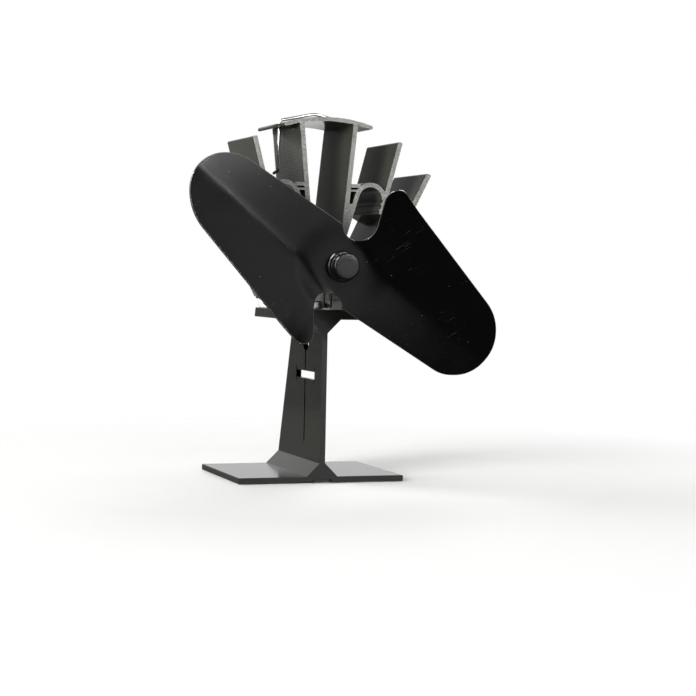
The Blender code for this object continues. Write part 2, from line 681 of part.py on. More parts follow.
def build_clamp(side, name):
    """A clamp screw with its washer and insulating bush, sunk in the table and threaded in the heat sink."""
    place = (side * SCREW_REACH, MIDDLE_DEPTH)
    tip = SINK_BOTTOM + SCREW_GRIP
    head_bottom = SCREW_HEAD_TOP - SCREW_HEAD_THICKNESS
    profile = [
        (0, tip),
        (SCREW_DIAMETER / 2, tip),
        (SCREW_DIAMETER / 2, SCREW_HEAD_TOP),
        (SCREW_HEAD_DIAMETER / 2, SCREW_HEAD_TOP),
        (SCREW_HEAD_DIAMETER / 2, head_bottom),
        (0, head_bottom),
    ]
    screw = upright_turned("clamp_screw_" + name, profile, PIN_STEPS, place)
    socket = shift(circle(SCREW_SOCKET_WIDTH / math.sqrt(3), 6), *place)
    cutter = upright_prism("socket", [socket], head_bottom - OVERRUN, head_bottom + SCREW_SOCKET_DEPTH)
    combine(screw, cutter, "DIFFERENCE")
    washer_profile = ring_profile(
        BUSH_BORE_RADIUS, WASHER_DIAMETER / 2, WASHER_BOTTOM, WASHER_BOTTOM + WASHER_THICKNESS
    )
    washer = upright_turned("spring_washer_" + name, washer_profile, PIN_STEPS, place, closed=True)
    bush_top = STAND_HEIGHT
    bush_profile = [
        (BUSH_RADIUS, bush_top),
        (BUSH_RADIUS, RECESS_TOP - FIT_GAP),
        (BUSH_FLANGE_DIAMETER / 2, RECESS_TOP - FIT_GAP),
        (BUSH_FLANGE_DIAMETER / 2, BUSH_FLANGE_BOTTOM),
        (BUSH_BORE_RADIUS, BUSH_FLANGE_BOTTOM),
        (BUSH_BORE_RADIUS, bush_top),
    ]
    bush = upright_turned("insulating_bush_" + name, bush_profile, PIN_STEPS, place, closed=True)
    return screw, washer, bush


def inner_fin_face(height):
    """How far out the inner fin's outer face lies at a height."""
    slope = (INNER_FIN_TOP_REACH - INNER_FIN_AXIS_REACH) / (inner_fin_top() - AXIS_HEIGHT)
    return INNER_FIN_AXIS_REACH + slope * (height - AXIS_HEIGHT)


def inner_fin_top():
    """Height at which the inner fin ends, in the middle of the roof's thickness."""
    return roof_top_at(INNER_FIN_TOP_REACH) - ROOF_THICKNESS / 2


def inner_fin_outline():
    """An inner fin from the motor channel to the roof, with fine grooves high on its outer face."""
    foot = AXIS_HEIGHT
    head = inner_fin_top()
    teeth = int(SERRATED_LENGTH / SERRATION_PITCH)
    grooved_top = head - 2 * ROOF_THICKNESS
    face = [(inner_fin_face(foot), foot)]
    for tooth in range(teeth, 0, -1):
        height = grooved_top - tooth * SERRATION_PITCH
        face.append((inner_fin_face(height), height))
        height += SERRATION_PITCH / 2
        face.append((inner_fin_face(height) - SERRATION_DEPTH, height))
    face.append((inner_fin_face(grooved_top), grooved_top))
    face.append((inner_fin_face(head), head))
    back = [
        (inner_fin_face(head) - INNER_FIN_THICKNESS, head),
        (inner_fin_face(foot) - INNER_FIN_THICKNESS, foot),
    ]
    return face + back


def fin_band(path, thickness):
    """A fin's outline along its middle line, foot first, with a rounded tip."""
    outline = stroke_outline(path, thickness)
    last = len(path) - 1
    corners = []
    for index, point in enumerate(outline):
        radius = 0
        if index in (last, last + 1):
            radius = FIN_TIP_RADIUS
        corners.append((point.x, point.y, radius))
    return rounded_outline(corners, SMALL_ARC_STEP * 2)


def second_fin_path():
    """Middle line of the second fin: up and out from the plate, back in at a knee, then up to its tip."""
    return [
        Vector((SECOND_FIN_FOOT_REACH, SINK_PLATE_TOP - SINK_PLATE_THICKNESS / 2)),
        Vector((SECOND_FIN_LOW_KNEE_REACH, SINK_PLATE_TOP + SECOND_FIN_LOW_KNEE_RISE)),
        Vector((SECOND_FIN_HIGH_KNEE_REACH, SINK_PLATE_TOP + SECOND_FIN_HIGH_KNEE_RISE)),
        Vector((SECOND_FIN_TOP_REACH, SINK_PLATE_TOP + SECOND_FIN_TOP_RISE)),
    ]


def third_fin_path():
    """Middle line of the third fin, straight from the plate's edge to its tip."""
    foot = SINK_PLATE_WIDTH / 2 - THIRD_FIN_FOOT_INSET
    return [
        Vector((foot, SINK_PLATE_TOP - SINK_PLATE_THICKNESS / 2)),
        Vector((THIRD_FIN_TOP_REACH, SINK_PLATE_TOP + THIRD_FIN_TOP_RISE)),
    ]


def rib_outline(rise):
    """A low rib on the inner face of the second fin, at a rise above the plate."""
    path = second_fin_path()
    knee = path[2]
    along = (path[3] - knee).normalized()
    inward = Vector((-along.y, along.x))
    middle = knee + along * ((SINK_PLATE_TOP + rise - knee.y) / along.y)
    face = middle + inward * (SECOND_FIN_THICKNESS / 2)
    crest = face + inward * RIB_REACH
    half = along * (RIB_WIDTH / 2)
    return [middle - half, middle + half, face + half, crest + half / 2, crest - half / 2, face - half]


def arch_outline():
    """The arch between an inner and a second fin, with a leg that leans in to the inner fin."""
    middle = Vector((ARCH_MIDDLE_REACH, SINK_PLATE_TOP + ARCH_MIDDLE_RISE))
    crown = arc_points(middle, ARCH_RADIUS, 180 - ARCH_LEG_LEAN, 0, SMALL_ARC_STEP)
    slope = math.tan(math.radians(ARCH_LEG_LEAN))
    foot = crown[0] - Vector((slope, 1)) * ARCH_LEG_DROP
    return stroke_outline([foot] + crown, ARCH_THICKNESS)


def link_outline(top_rise, thickness):
    """A bridge between an inner fin and the arch's leg, down from a rise above the plate."""
    top = SINK_PLATE_TOP + top_rise
    bottom = top - thickness
    lean = math.radians(ARCH_LEG_LEAN)
    start = ARCH_MIDDLE_REACH - ARCH_RADIUS * math.cos(lean)
    level = SINK_PLATE_TOP + ARCH_MIDDLE_RISE + ARCH_RADIUS * math.sin(lean)
    leg_top = start + math.tan(lean) * (top - level)
    leg_bottom = start + math.tan(lean) * (bottom - level)
    fin_top = inner_fin_face(top) - INNER_FIN_THICKNESS / 2
    fin_bottom = inner_fin_face(bottom) - INNER_FIN_THICKNESS / 2
    return [(fin_bottom, bottom), (leg_bottom, bottom), (leg_top, top), (fin_top, top)]


def roof_circle():
    """Middle height and radius of the roof's curved middle line."""
    half = (ROOF_WIDTH - ROOF_THICKNESS) / 2
    radius = (half * half + ROOF_BOW * ROOF_BOW) / (2 * ROOF_BOW)
    return ROOF_TOP_HEIGHT - ROOF_THICKNESS / 2 - radius, radius


def roof_top_at(reach):
    """Height of the roof's upper face at a distance from the middle."""
    middle, radius = roof_circle()
    outer = radius + ROOF_THICKNESS / 2
    return middle + math.sqrt(outer * outer - reach * reach)


def roof_outline():
    """The curved roof with rounded edges."""
    middle_height, radius = roof_circle()
    middle = Vector((0, middle_height))
    half_angle = math.degrees(math.asin((ROOF_WIDTH - ROOF_THICKNESS) / 2 / radius))
    step = LARGE_ARC_STEP / 2
    top = arc_points(middle, radius + ROOF_THICKNESS / 2, 90 + half_angle, 90 - half_angle, step)
    bottom = arc_points(middle, radius - ROOF_THICKNESS / 2, 90 - half_angle, 90 + half_angle, step)
    edge = ROOF_THICKNESS / 2
    right_middle = (top[-1] + bottom[0]) / 2
    right = arc_points(right_middle, edge, 90 - half_angle, -90 - half_angle, 2 * SMALL_ARC_STEP)
    left_middle = (bottom[-1] + top[0]) / 2
    left = arc_points(left_middle, edge, 270 + half_angle, 90 + half_angle, 2 * SMALL_ARC_STEP)
    return top + right[1:-1] + bottom + left[1:-1]


def mirrored(outline):
    """The outline on the other side of the plane of symmetry."""
    return [(-point[0], point[1]) for point in reversed(outline)]


def build_heat_sink():
    """The heat sink: its section joined from bands, cut to length, then bored for motor, bail and screws."""
    bands = [
        ("inner_fin", inner_fin_outline()),
        ("second_fin", fin_band(second_fin_path(), SECOND_FIN_THICKNESS)),
        ("third_fin", fin_band(third_fin_path(), THIRD_FIN_THICKNESS)),
        ("arch", arch_outline()),
        ("upper_link", link_outline(UPPER_LINK_RISE + UPPER_LINK_THICKNESS / 2, UPPER_LINK_THICKNESS)),
        ("middle_link", link_outline(MIDDLE_LINK_RISE + MIDDLE_LINK_THICKNESS / 2, MIDDLE_LINK_THICKNESS)),
        ("lower_link", link_outline(LOWER_LINK_TOP_RISE, LOWER_LINK_HEIGHT)),
    ]
    for number in range(RIB_COUNT):
        bands.append(("rib", rib_outline(LOWEST_RIB_RISE + RIB_PITCH * number)))
    plate = plate_profile(SINK_PLATE_WIDTH, SINK_BOTTOM, SINK_PLATE_TOP)
    sink = prism("heat_sink", [plate], 0, SINK_DEPTH)
    channel = shift(circle(CHANNEL_RADIUS + CHANNEL_WALL, ROUND_STEPS), 0, AXIS_HEIGHT)
    combine(sink, prism("channel", [channel], 0, SINK_DEPTH), "UNION")
    combine(sink, prism("roof", [roof_outline()], 0, SINK_DEPTH), "UNION")
    for name, outline in bands:
        combine(sink, prism(name, [outline], 0, SINK_DEPTH), "UNION")
        combine(sink, prism(name, [mirrored(outline)], 0, SINK_DEPTH), "UNION")
    bore = shift(circle(CHANNEL_RADIUS, ROUND_STEPS), 0, AXIS_HEIGHT)
    combine(sink, prism("motor_bore", [bore], -OVERRUN, SINK_DEPTH + OVERRUN), "DIFFERENCE")
    for side in (-1, 1):
        hole = circle(BAIL_RADIUS + BAIL_HOLE_CLEARANCE, PIN_STEPS)
        leg = shift(hole, side * BAIL_LEG_SPACING / 2, MIDDLE_DEPTH)
        low = roof_top_at(BAIL_LEG_SPACING / 2) - 2 * ROOF_THICKNESS
        combine(sink, upright_prism("bail_hole", [leg], low, ROOF_TOP_HEIGHT + OVERRUN), "DIFFERENCE")
        thread = shift(circle(SCREW_DIAMETER / 2 + FIT_GAP, PIN_STEPS), side * SCREW_REACH, MIDDLE_DEPTH)
        top = SINK_BOTTOM + SCREW_GRIP + STACK_GAP
        combine(sink, upright_prism("thread", [thread], SINK_BOTTOM - OVERRUN, top), "DIFFERENCE")
    return [sink]


def build_bail():
    """The carrying bail: peaked bar over the roof, two legs and a hook to the rear at each end."""
    half = BAIL_LEG_SPACING / 2
    shoulder = bail_shoulder_height()
    peak = ROOF_TOP_HEIGHT + BAIL_PEAK_RISE
    end = shoulder - BAIL_LEG_LENGTH
    hook = rounded_outline(
        [
            (MIDDLE_DEPTH + BAIL_HOOK_LENGTH, end - BAIL_HOOK_DROP, 0),
            (MIDDLE_DEPTH, end, BAIL_HOOK_BEND),
            (MIDDLE_DEPTH, shoulder - 2 * BAIL_BEND_RADIUS, 0),
        ],
        SMALL_ARC_STEP,
    )
    bar = rounded_outline(
        [
            (half, shoulder - 2 * BAIL_BEND_RADIUS, 0),
            (half, shoulder, BAIL_BEND_RADIUS),
            (0, peak, BAIL_PEAK_RADIUS),
            (-half, shoulder, BAIL_BEND_RADIUS),
            (-half, shoulder - 2 * BAIL_BEND_RADIUS, 0),
        ],
        SMALL_ARC_STEP / 2,
    )
    path = [(half, point[0], point[1]) for point in hook[:-1]]
    path += [(point[0], MIDDLE_DEPTH, point[1]) for point in bar]
    path += [(-half, point[0], point[1]) for point in hook[-2::-1]]
    return [tube("carry_handle", path, BAIL_WIRE_DIAMETER, 2)]


def bail_shoulder_height():
    """Height of the bail's shoulders, just above the roof."""
    return roof_top_at(BAIL_LEG_SPACING / 2) + BAIL_SHOULDER_GAP + BAIL_RADIUS


def build_motor_case():
    """The motor's fixed pieces that are turned: can, end cap and the two bearings."""
    front = MOTOR_FRONT_REACH
    rear = MOTOR_REAR_REACH
    boss = BOSS_DIAMETER / 2
    can_profile = [
        (boss, front + BOSS_LENGTH),
        (boss, front),
        (CAN_RADIUS - CAN_EDGE, front),
        (CAN_RADIUS, front - CAN_EDGE),
        (CAN_RADIUS, rear),
        (CAN_BORE_RADIUS, rear),
        (CAN_BORE_RADIUS, front - CAN_WALL - CAN_EDGE / 2),
        (CAN_BORE_RADIUS - CAN_EDGE / 2, front - CAN_WALL),
        (BEARING_SEAT_RADIUS, front - CAN_WALL),
        (BEARING_SEAT_RADIUS, front + BOSS_LENGTH),
    ]
    cap_profile = [
        (BEARING_SEAT_RADIUS + CAN_EDGE, rear - STACK_GAP),
        (BEARING_SEAT_RADIUS + CAN_EDGE, rear - CAN_EDGE),
        (BEARING_SEAT_RADIUS, rear - CAN_EDGE),
        (BEARING_SEAT_RADIUS, rear + END_CAP_THICKNESS),
        (CAN_BORE_RADIUS - FIT_GAP, rear + END_CAP_THICKNESS),
        (CAN_BORE_RADIUS - FIT_GAP, rear - STACK_GAP),
    ]
    bearing_radius = BEARING_DIAMETER / 2
    front_start = front + BOSS_LENGTH - BEARING_LENGTH
    rear_start = rear - CAN_EDGE
    front_ring = ring_profile(BEARING_BORE_RADIUS, bearing_radius, front_start, front_start + BEARING_LENGTH)
    rear_ring = ring_profile(BEARING_BORE_RADIUS, bearing_radius, rear_start, rear_start + BEARING_LENGTH)
    can = turned("motor_can", can_profile, ROUND_STEPS, closed=True)
    cap = turned("motor_end_cap", cap_profile, ROUND_STEPS, closed=True)
    front_bearing = turned("front_bearing", front_ring, PIN_STEPS, closed=True)
    rear_bearing = turned("rear_bearing", rear_ring, PIN_STEPS, closed=True)
    return can, cap, front_bearing, rear_bearing


def arc_band(inner, outer, middle_angle, arc):
    """The outline of a curved band about the motor's axis."""
    axis = Vector((0, AXIS_HEIGHT))
    low = middle_angle - arc / 2
    high = middle_angle + arc / 2
    step = LARGE_ARC_STEP * 1.5
    return arc_points(axis, outer, low, high, step) + arc_points(axis, inner, high, low, step)


def build_magnets():
    """Two curved magnets inside the can."""
    parts = []
    for name, angle in (("magnet_upper", 90), ("magnet_lower", 270)):
        outline = arc_band(MAGNET_INNER_RADIUS, MAGNET_OUTER_RADIUS, angle, MAGNET_ARC)
        back = MAGNET_LENGTH - MAGNET_FRONT_REACH
        parts.append(smooth(prism(name, [outline], -MAGNET_FRONT_REACH, back)))
    return parts


def build_brushes():
    """Two brush arms on the end cap, and the two terminals behind it."""
    reach = MOTOR_REAR_REACH + END_CAP_THICKNESS
    parts = []
    for side, name in ((-1, "left"), (1, "right")):
        inner = side * (COMMUTATOR_DIAMETER / 2 + FIT_GAP)
        outer = inner + side * BRUSH_THICKNESS
        low = (min(inner, outer), -reach - BRUSH_LENGTH, AXIS_HEIGHT - BRUSH_WIDTH / 2)
        high = (max(inner, outer), -reach - STACK_GAP, AXIS_HEIGHT + BRUSH_WIDTH / 2)
        parts.append(box("brush_" + name, low, high))
    back = -MOTOR_REAR_REACH + STACK_GAP * 2
    for side, name in ((-1, "left"), (1, "right")):
        middle = side * TERMINAL_SPACING / 2
        low = (middle - TERMINAL_WIDTH / 2, back, AXIS_HEIGHT - TERMINAL_THICKNESS / 2)
        high = (middle + TERMINAL_WIDTH / 2, back + TERMINAL_LENGTH, AXIS_HEIGHT + TERMINAL_THICKNESS / 2)
        parts.append(box("motor_terminal_" + name, low, high))
    return parts


def build_sleeve():
    """The split rubber sleeve that grips the motor, open below where the leads pass."""
    outline = arc_band(CAN_RADIUS + STACK_GAP, CHANNEL_RADIUS - STACK_GAP, 90, 360 - SLEEVE_SLOT_ARC)
    return [smooth(prism("motor_sleeve", [outline], SLEEVE_INSET, SLEEVE_INSET + SLEEVE_LENGTH))]


def pole_outline(number):
    """One pole of the armature: neck and curved shoe, as a stretch of the closed outline."""
    neck = POLE_NECK_WIDTH / 2
    hub = ARMATURE_HUB_DIAMETER / 2
    shoe = ARMATURE_RADIUS - POLE_SHOE_THICKNESS
    half = POLE_SHOE_ARC / 2
    spread = math.degrees(math.asin(neck / shoe))
    middle = Vector((0, 0))
    points = [Vector((neck, math.sqrt(hub * hub - neck * neck)))]
    points += arc_points(middle, shoe, 90 - spread, 90 - half, LARGE_ARC_STEP * 3)
    points += arc_points(middle, ARMATURE_RADIUS, 90 - half, 90 + half, LARGE_ARC_STEP * 2)
    points += arc_points(middle, shoe, 90 + half, 90 + spread, LARGE_ARC_STEP * 3)
    points.append(Vector((-neck, math.sqrt(hub * hub - neck * neck))))
    turn = Matrix.Rotation(math.radians(360 / POLE_COUNT) * number, 2)
    return [turn @ point for point in points]


def build_armature():
    """The rotor inside the motor: laminated core, a winding on each pole and the commutator."""
    outline = []
    for number in range(POLE_COUNT):
        outline += pole_outline(number)
    bore = shift(circle(SHAFT_DIAMETER / 2 + FIT_GAP / 2, PIN_STEPS), 0, AXIS_HEIGHT)
    front = -ARMATURE_MIDDLE_REACH - ARMATURE_LENGTH / 2
    back = front + ARMATURE_LENGTH
    core = prism("armature_core", [shift(outline, 0, AXIS_HEIGHT), bore], front, back)
    parts = {"armature_core": core}
    neck = POLE_NECK_WIDTH / 2 + FIT_GAP / 2
    low = ARMATURE_HUB_DIAMETER / 2 + FIT_GAP
    wide = neck + WINDING_THICKNESS
    room = ARMATURE_RADIUS - POLE_SHOE_THICKNESS - 2 * FIT_GAP
    high = math.sqrt(room * room - wide * wide)
    outer = rectangle(-wide, wide, front - FIT_GAP - WINDING_THICKNESS, back + FIT_GAP + WINDING_THICKNESS)
    inner = rectangle(-neck, neck, front - FIT_GAP, back + FIT_GAP)
    for number in range(POLE_COUNT):
        name = "armature_winding_" + str(number + 1)
        winding = upright_prism(name, [outer, inner], low, high)
        winding.data.transform(Matrix.Rotation(-math.radians(360 / POLE_COUNT) * number, 4, "Y"))
        winding.data.transform(Matrix.Translation((0, 0, AXIS_HEIGHT)))
        parts[name] = winding
    start = ARMATURE_MIDDLE_REACH - ARMATURE_LENGTH / 2 - FIT_GAP - WINDING_THICKNESS - FIT_GAP
    profile = ring_profile(
        SHAFT_DIAMETER / 2 + STACK_GAP, COMMUTATOR_DIAMETER / 2, start - COMMUTATOR_LENGTH, start
    )
    parts["commutator"] = turned("commutator", profile, PIN_STEPS, closed=True)
    return parts


def build_shaft():
    """The motor's shaft, from behind the rear bearing to inside the knob."""
    radius = SHAFT_DIAMETER / 2
    rear = MOTOR_REAR_REACH - CAN_EDGE - SHAFT_TAIL
    profile = [(0, SHAFT_NOSE), (radius, SHAFT_NOSE), (radius, rear), (0, rear)]
    return [turned("motor_shaft", profile, PIN_STEPS)]


def rest_of_hub():
    """The hub behind the blade: boss, flange and the spigot that carries blade and knob."""
    bore = SHAFT_DIAMETER / 2 + STACK_GAP
    flange_front = BLADE_BACK_REACH - STACK_GAP
    flange_back = flange_front - HUB_FLANGE_THICKNESS
    profile = [
        (HUB_SPIGOT_DIAMETER / 2, SHAFT_NOSE),
        (HUB_SPIGOT_DIAMETER / 2, flange_front),
        (HUB_FLANGE_DIAMETER / 2, flange_front),
        (HUB_FLANGE_DIAMETER / 2, flange_back),
        (HUB_BOSS_DIAMETER / 2, flange_back),
        (HUB_BOSS_DIAMETER / 2, flange_back - HUB_BOSS_LENGTH),
        (bore, flange_back - HUB_BOSS_LENGTH),
        (bore, SHAFT_NOSE),
    ]
    return turned("blade_hub", profile, ROUND_STEPS, closed=True)


def build_knob():
    """The knob that clamps the blade: flange, waist, rim with a bevelled edge, blind bore behind."""
    bore = HUB_SPIGOT_DIAMETER / 2 + STACK_GAP
    rim = KNOB_DIAMETER / 2
    waist = KNOB_WAIST_DIAMETER / 2
    flange = KNOB_FLANGE_DIAMETER / 2
    rim_back = KNOB_FRONT_REACH - KNOB_RIM_LENGTH
    flange_front = KNOB_BACK_REACH + KNOB_FLANGE_THICKNESS
    profile = [
        (0, KNOB_FRONT_REACH),
        (rim - KNOB_CHAMFER, KNOB_FRONT_REACH),
        (rim, KNOB_FRONT_REACH - KNOB_CHAMFER),
        (rim, rim_back + KNOB_CHAMFER / 2),
        (waist, rim_back),
        (waist, flange_front),
        (flange - KNOB_CHAMFER / 2, flange_front),
        (flange, flange_front - KNOB_CHAMFER / 2),
        (flange, KNOB_BACK_REACH),
        (bore, KNOB_BACK_REACH),
        (bore, SHAFT_NOSE + FIT_GAP),
        (0, SHAFT_NOSE + FIT_GAP),
    ]
    return turned("hub_knob", profile, ROUND_STEPS)


def lobe_corners():
    """Corners of one lobe, from the notch above the hub round the tip and ear to the notch below it."""
    return [
        (-NOTCH_INNER_SIDE, NOTCH_LIP_DROP, NOTCH_LIP_RADIUS),
        (-BLADE_SHOULDER_SIDE, BLADE_TIP_TOP, BLADE_SHOULDER_RADIUS),
        (-BLADE_TIP_SIDE, BLADE_TIP_TOP, BLADE_TIP_RADIUS),
        (-BLADE_TIP_SIDE, BLADE_HEEL_TOP, BLADE_HEEL_RADIUS),
        (-BLADE_EAR_SIDE, -BLADE_EAR_DROP, BLADE_EAR_RADIUS),
        (-NOTCH_OUTER_SIDE, -NOTCH_DEPTH, NOTCH_RADIUS),
        (NOTCH_INNER_SIDE, -NOTCH_DEPTH, NOTCH_RADIUS),
    ]


def blade_reach(across, up):
    """How far the sheet stands forward of its flat middle, for arrays of places about the axis.

    Each lobe has a straight crease. The sheet behind it is folded forward and its ear curls a little
    more. The strip ahead of it tilts back, most at the tip. All fade out towards the flat middle.
    """
    split_across = (NOTCH_OUTER_SIDE - NOTCH_INNER_SIDE) / 2
    own_side = across * NOTCH_LIP_DROP - up * split_across < 0
    across = np.where(own_side, across, -across)
    up = np.where(own_side, up, -up)
    lobe = math.radians(CREASE_ANGLE)
    along = across * math.cos(lobe) + up * math.sin(lobe)
    outward = np.maximum(along, 0)
    ahead = across * math.sin(lobe) - up * math.cos(lobe) + CREASE_OFFSET
    strip = (np.hypot(ahead, CREASE_BEND) + ahead) / 2
    behind = ahead + FOLD_INSET
    folded = (np.hypot(behind, FOLD_BEND) - behind) / 2
    ear = np.clip((EAR_CURL_START - along) / (EAR_CURL_START - EAR_CURL_END), 0, 1)
    curl = ear * ear * (3 - 2 * ear) * folded * folded / (2 * EAR_CURL_RADIUS)
    tilt = STRIP_TILT * (outward / TILT_REACH) ** 1.5
    rise = LOBE_LEAN * outward + FOLD_SLOPE * folded + curl - tilt * strip
    distance = np.hypot(across, up)
    blend = np.clip((distance - BLADE_FLAT_RADIUS) / (BLADE_BLEND_RADIUS - BLADE_FLAT_RADIUS), 0, 1)
    return rise * blend * blend * (3 - 2 * blend)


def build_blade():
    """The blade: a bent sheet with thickness, trimmed by the stamped outline and its centre hole.

    The sheet's rows run along the two creases, so that its bends fall between whole rows.
    """
    long_half = BLADE_TIP_SIDE + BLADE_TIP_RADIUS
    wide_half = BLADE_TIP_TOP + OVERRUN
    columns = 2 * math.ceil(long_half / SHEET_LONG_PITCH)
    rows = 2 * math.ceil(wide_half / SHEET_PITCH)
    bpy.ops.mesh.primitive_grid_add(x_subdivisions=columns, y_subdivisions=rows, size=2)
    blade = bpy.context.object
    blade.name = "fan_blade"
    count = len(blade.data.vertices)
    places = np.empty(count * 3)
    blade.data.vertices.foreach_get("co", places)
    places = places.reshape(count, 3)
    along = places[:, 0] * long_half
    aside = places[:, 1] * wide_half
    lobe = math.radians(CREASE_ANGLE)
    across = along * math.cos(lobe) - aside * math.sin(lobe)
    up = along * math.sin(lobe) + aside * math.cos(lobe)
    middle = BLADE_REACH - BLADE_THICKNESS / 2
    forward = middle + blade_reach(across, up)
    bent = np.column_stack((across, -forward, up + AXIS_HEIGHT))
    blade.data.vertices.foreach_set("co", bent.ravel())
    blade.data.update()
    wall = blade.modifiers.new("sheet", "SOLIDIFY")
    wall.thickness = BLADE_THICKNESS
    wall.offset = 0
    wall.use_even_offset = True
    settle(blade)
    lobe = lobe_corners()
    other = [(-across_side, -up_side, radius) for across_side, up_side, radius in lobe]
    outline = shift(rounded_outline(lobe + other, LARGE_ARC_STEP), 0, AXIS_HEIGHT)
    hole = shift(circle(BLADE_HOLE_DIAMETER / 2, PIN_STEPS), 0, AXIS_HEIGHT)
    deepest = BLADE_REACH + BLADE_TIP_TOP
    stamp = prism("stamp", [outline, hole], -deepest, OVERRUN)
    combine(blade, stamp, "INTERSECT")
    return smooth(blade, 25)


def lead_path(side):
    """A lead's route: out of the generator's front, up before the heat sink, back under the motor."""
    across = side * LEAD_SPACING / 2
    start = MIDDLE_DEPTH - MODULE_SIZE / 2 + CORE_INSET - FIT_GAP
    core_middle = CORE_BOTTOM + CORE_THICKNESS / 2
    running = AXIS_HEIGHT - (CAN_RADIUS + CHANNEL_RADIUS) / 2
    rear = -MOTOR_REAR_REACH + LEAD_TAIL_GAP
    bend = LEAD_BEND
    outline = rounded_outline(
        [
            (start, core_middle, 0),
            (0, core_middle, bend),
            (-LEAD_FRONT_REACH, core_middle - LEAD_DIP, bend / 2),
            (-LEAD_FRONT_REACH, running, bend),
            (rear, running, bend),
            (rear, AXIS_HEIGHT - TERMINAL_THICKNESS / 2 - FIT_GAP, 0),
            (start, running + bend, 0),
        ],
        SMALL_ARC_STEP,
    )[:-1]
    last = len(outline) - 1
    path = []
    for number, (depth, height) in enumerate(outline):
        aside = across
        if number == last:
            aside = side * TERMINAL_SPACING / 2
        path.append((aside, depth, height))
    return path


def build_leads():
    """The positive and the negative lead."""
    positive = tube("lead_positive", lead_path(1), LEAD_DIAMETER, 1)
    negative = tube("lead_negative", lead_path(-1), LEAD_DIAMETER, 1)
    return positive, negative


def add_joint_empty(name, place, root):
    """An empty that marks a joint's place and carries what moves with it."""
    empty = bpy.data.objects.new(name, None)
    empty.empty_display_size = KNOB_FLANGE_DIAMETER
    empty.location = place
    empty.parent = root
    return empty


def dress(part, material, carrier, collection):
    """Give a part its finish, its carrier and its place in the collection."""
    part.data.materials.clear()
    part.data.materials.append(material)
    for holder in list(part.users_collection):
        holder.objects.unlink(part)
    collection.objects.link(part)
    if carrier.parent is not None:
        part.location = -carrier.location
    part.parent = carrier


def centre_over_origin(root, parts):
    """Move the assembly along Y, so that the middle of its bounding box is over the origin."""
    bpy.context.view_layer.update()
    depths = []
    for part in parts:
        matrix = np.array(part.matrix_world)
        points = np.empty(len(part.data.vertices) * 3)
        part.data.vertices.foreach_get("co", points)
        placed = points.reshape(-1, 3) @ matrix[:3, :3].T + matrix[:3, 3]
        depths += [placed[:, 1].min(), placed[:, 1].max()]
    root.location.y = -(min(depths) + max(depths)) / 2


def main():
    """Build every part, dress it and hang it on its carrier."""
    clear_scene()
    collection = make_collection("stove_fan")
    finish = make_materials()
    root = bpy.data.objects.new("stove_fan_base", None)
    rotor = add_joint_empty("rotor_axis", (0, 0, AXIS_HEIGHT), root)
    bail = add_joint_empty("bail_guide", (0, MIDDLE_DEPTH, bail_shoulder_height()), root)
    strip_pivot = add_joint_empty("strip_pivot", (0, STRIP_PIVOT_DEPTH, STRIP_MIDDLE), root)
    for empty in (root, rotor, bail, strip_pivot):
        collection.objects.link(empty)

    placed = []

    def place(parts, material, carrier):
        for part in parts:
            dress(part, finish[material], carrier, collection)
            placed.append(part)

    place(build_stand(), "black_anodised", root)
    strip, rivet = build_bimetal()
    place([strip], "bimetal", strip_pivot)
    place([rivet], "zinc_steel", root)
    generator = build_generator()
    place([generator["lower_thermal_pad"], generator["upper_thermal_pad"]], "graphite", root)
    place([generator["generator_hot_plate"], generator["generator_cold_plate"]], "ceramic", root)
    place([generator["generator_core"]], "silicone", root)
    for side, name in ((-1, "left"), (1, "right")):
        screw, washer, bush = build_clamp(side, name)
        place([screw, washer], "zinc_steel", root)
        place([bush], "fibre", root)
    place(build_heat_sink(), "black_anodised", root)
    place(build_bail(), "steel_wire", bail)
    can, cap, front_bearing, rear_bearing = build_motor_case()
    place([can], "can_steel", root)
    place([cap], "end_cap", root)
    place([front_bearing, rear_bearing], "bronze", root)
    place(build_magnets(), "magnet", root)
    place(build_brushes(), "brass", root)
    place(build_sleeve(), "rubber", root)
    positive, negative = build_leads()
    place([positive], "brown_insulation", root)
    place([negative], "black_insulation", root)
    armature = build_armature()
    place([armature["armature_core"]], "lamination", rotor)
    windings = [part for name, part in armature.items() if name.startswith("armature_winding")]
    place(windings + [armature["commutator"]], "copper", rotor)
    place(build_shaft(), "can_steel", rotor)
    place([rest_of_hub()], "knob_plastic", rotor)
    place([build_knob()], "knob_plastic", rotor)
    place([build_blade()], "blade_black", rotor)
    centre_over_origin(root, placed)
    print("assembly moved along Y by", round(root.location.y, 6))


main()
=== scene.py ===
"""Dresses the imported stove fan: finishes, finely made surfaces, lamps and camera."""

import logging
import math
from collections.abc import Sequence
from dataclasses import dataclass
from enum import Enum

import bmesh
import bpy
import numpy as np
from mathutils import Matrix, Vector
from mathutils.geometry import delaunay_2d_cdt


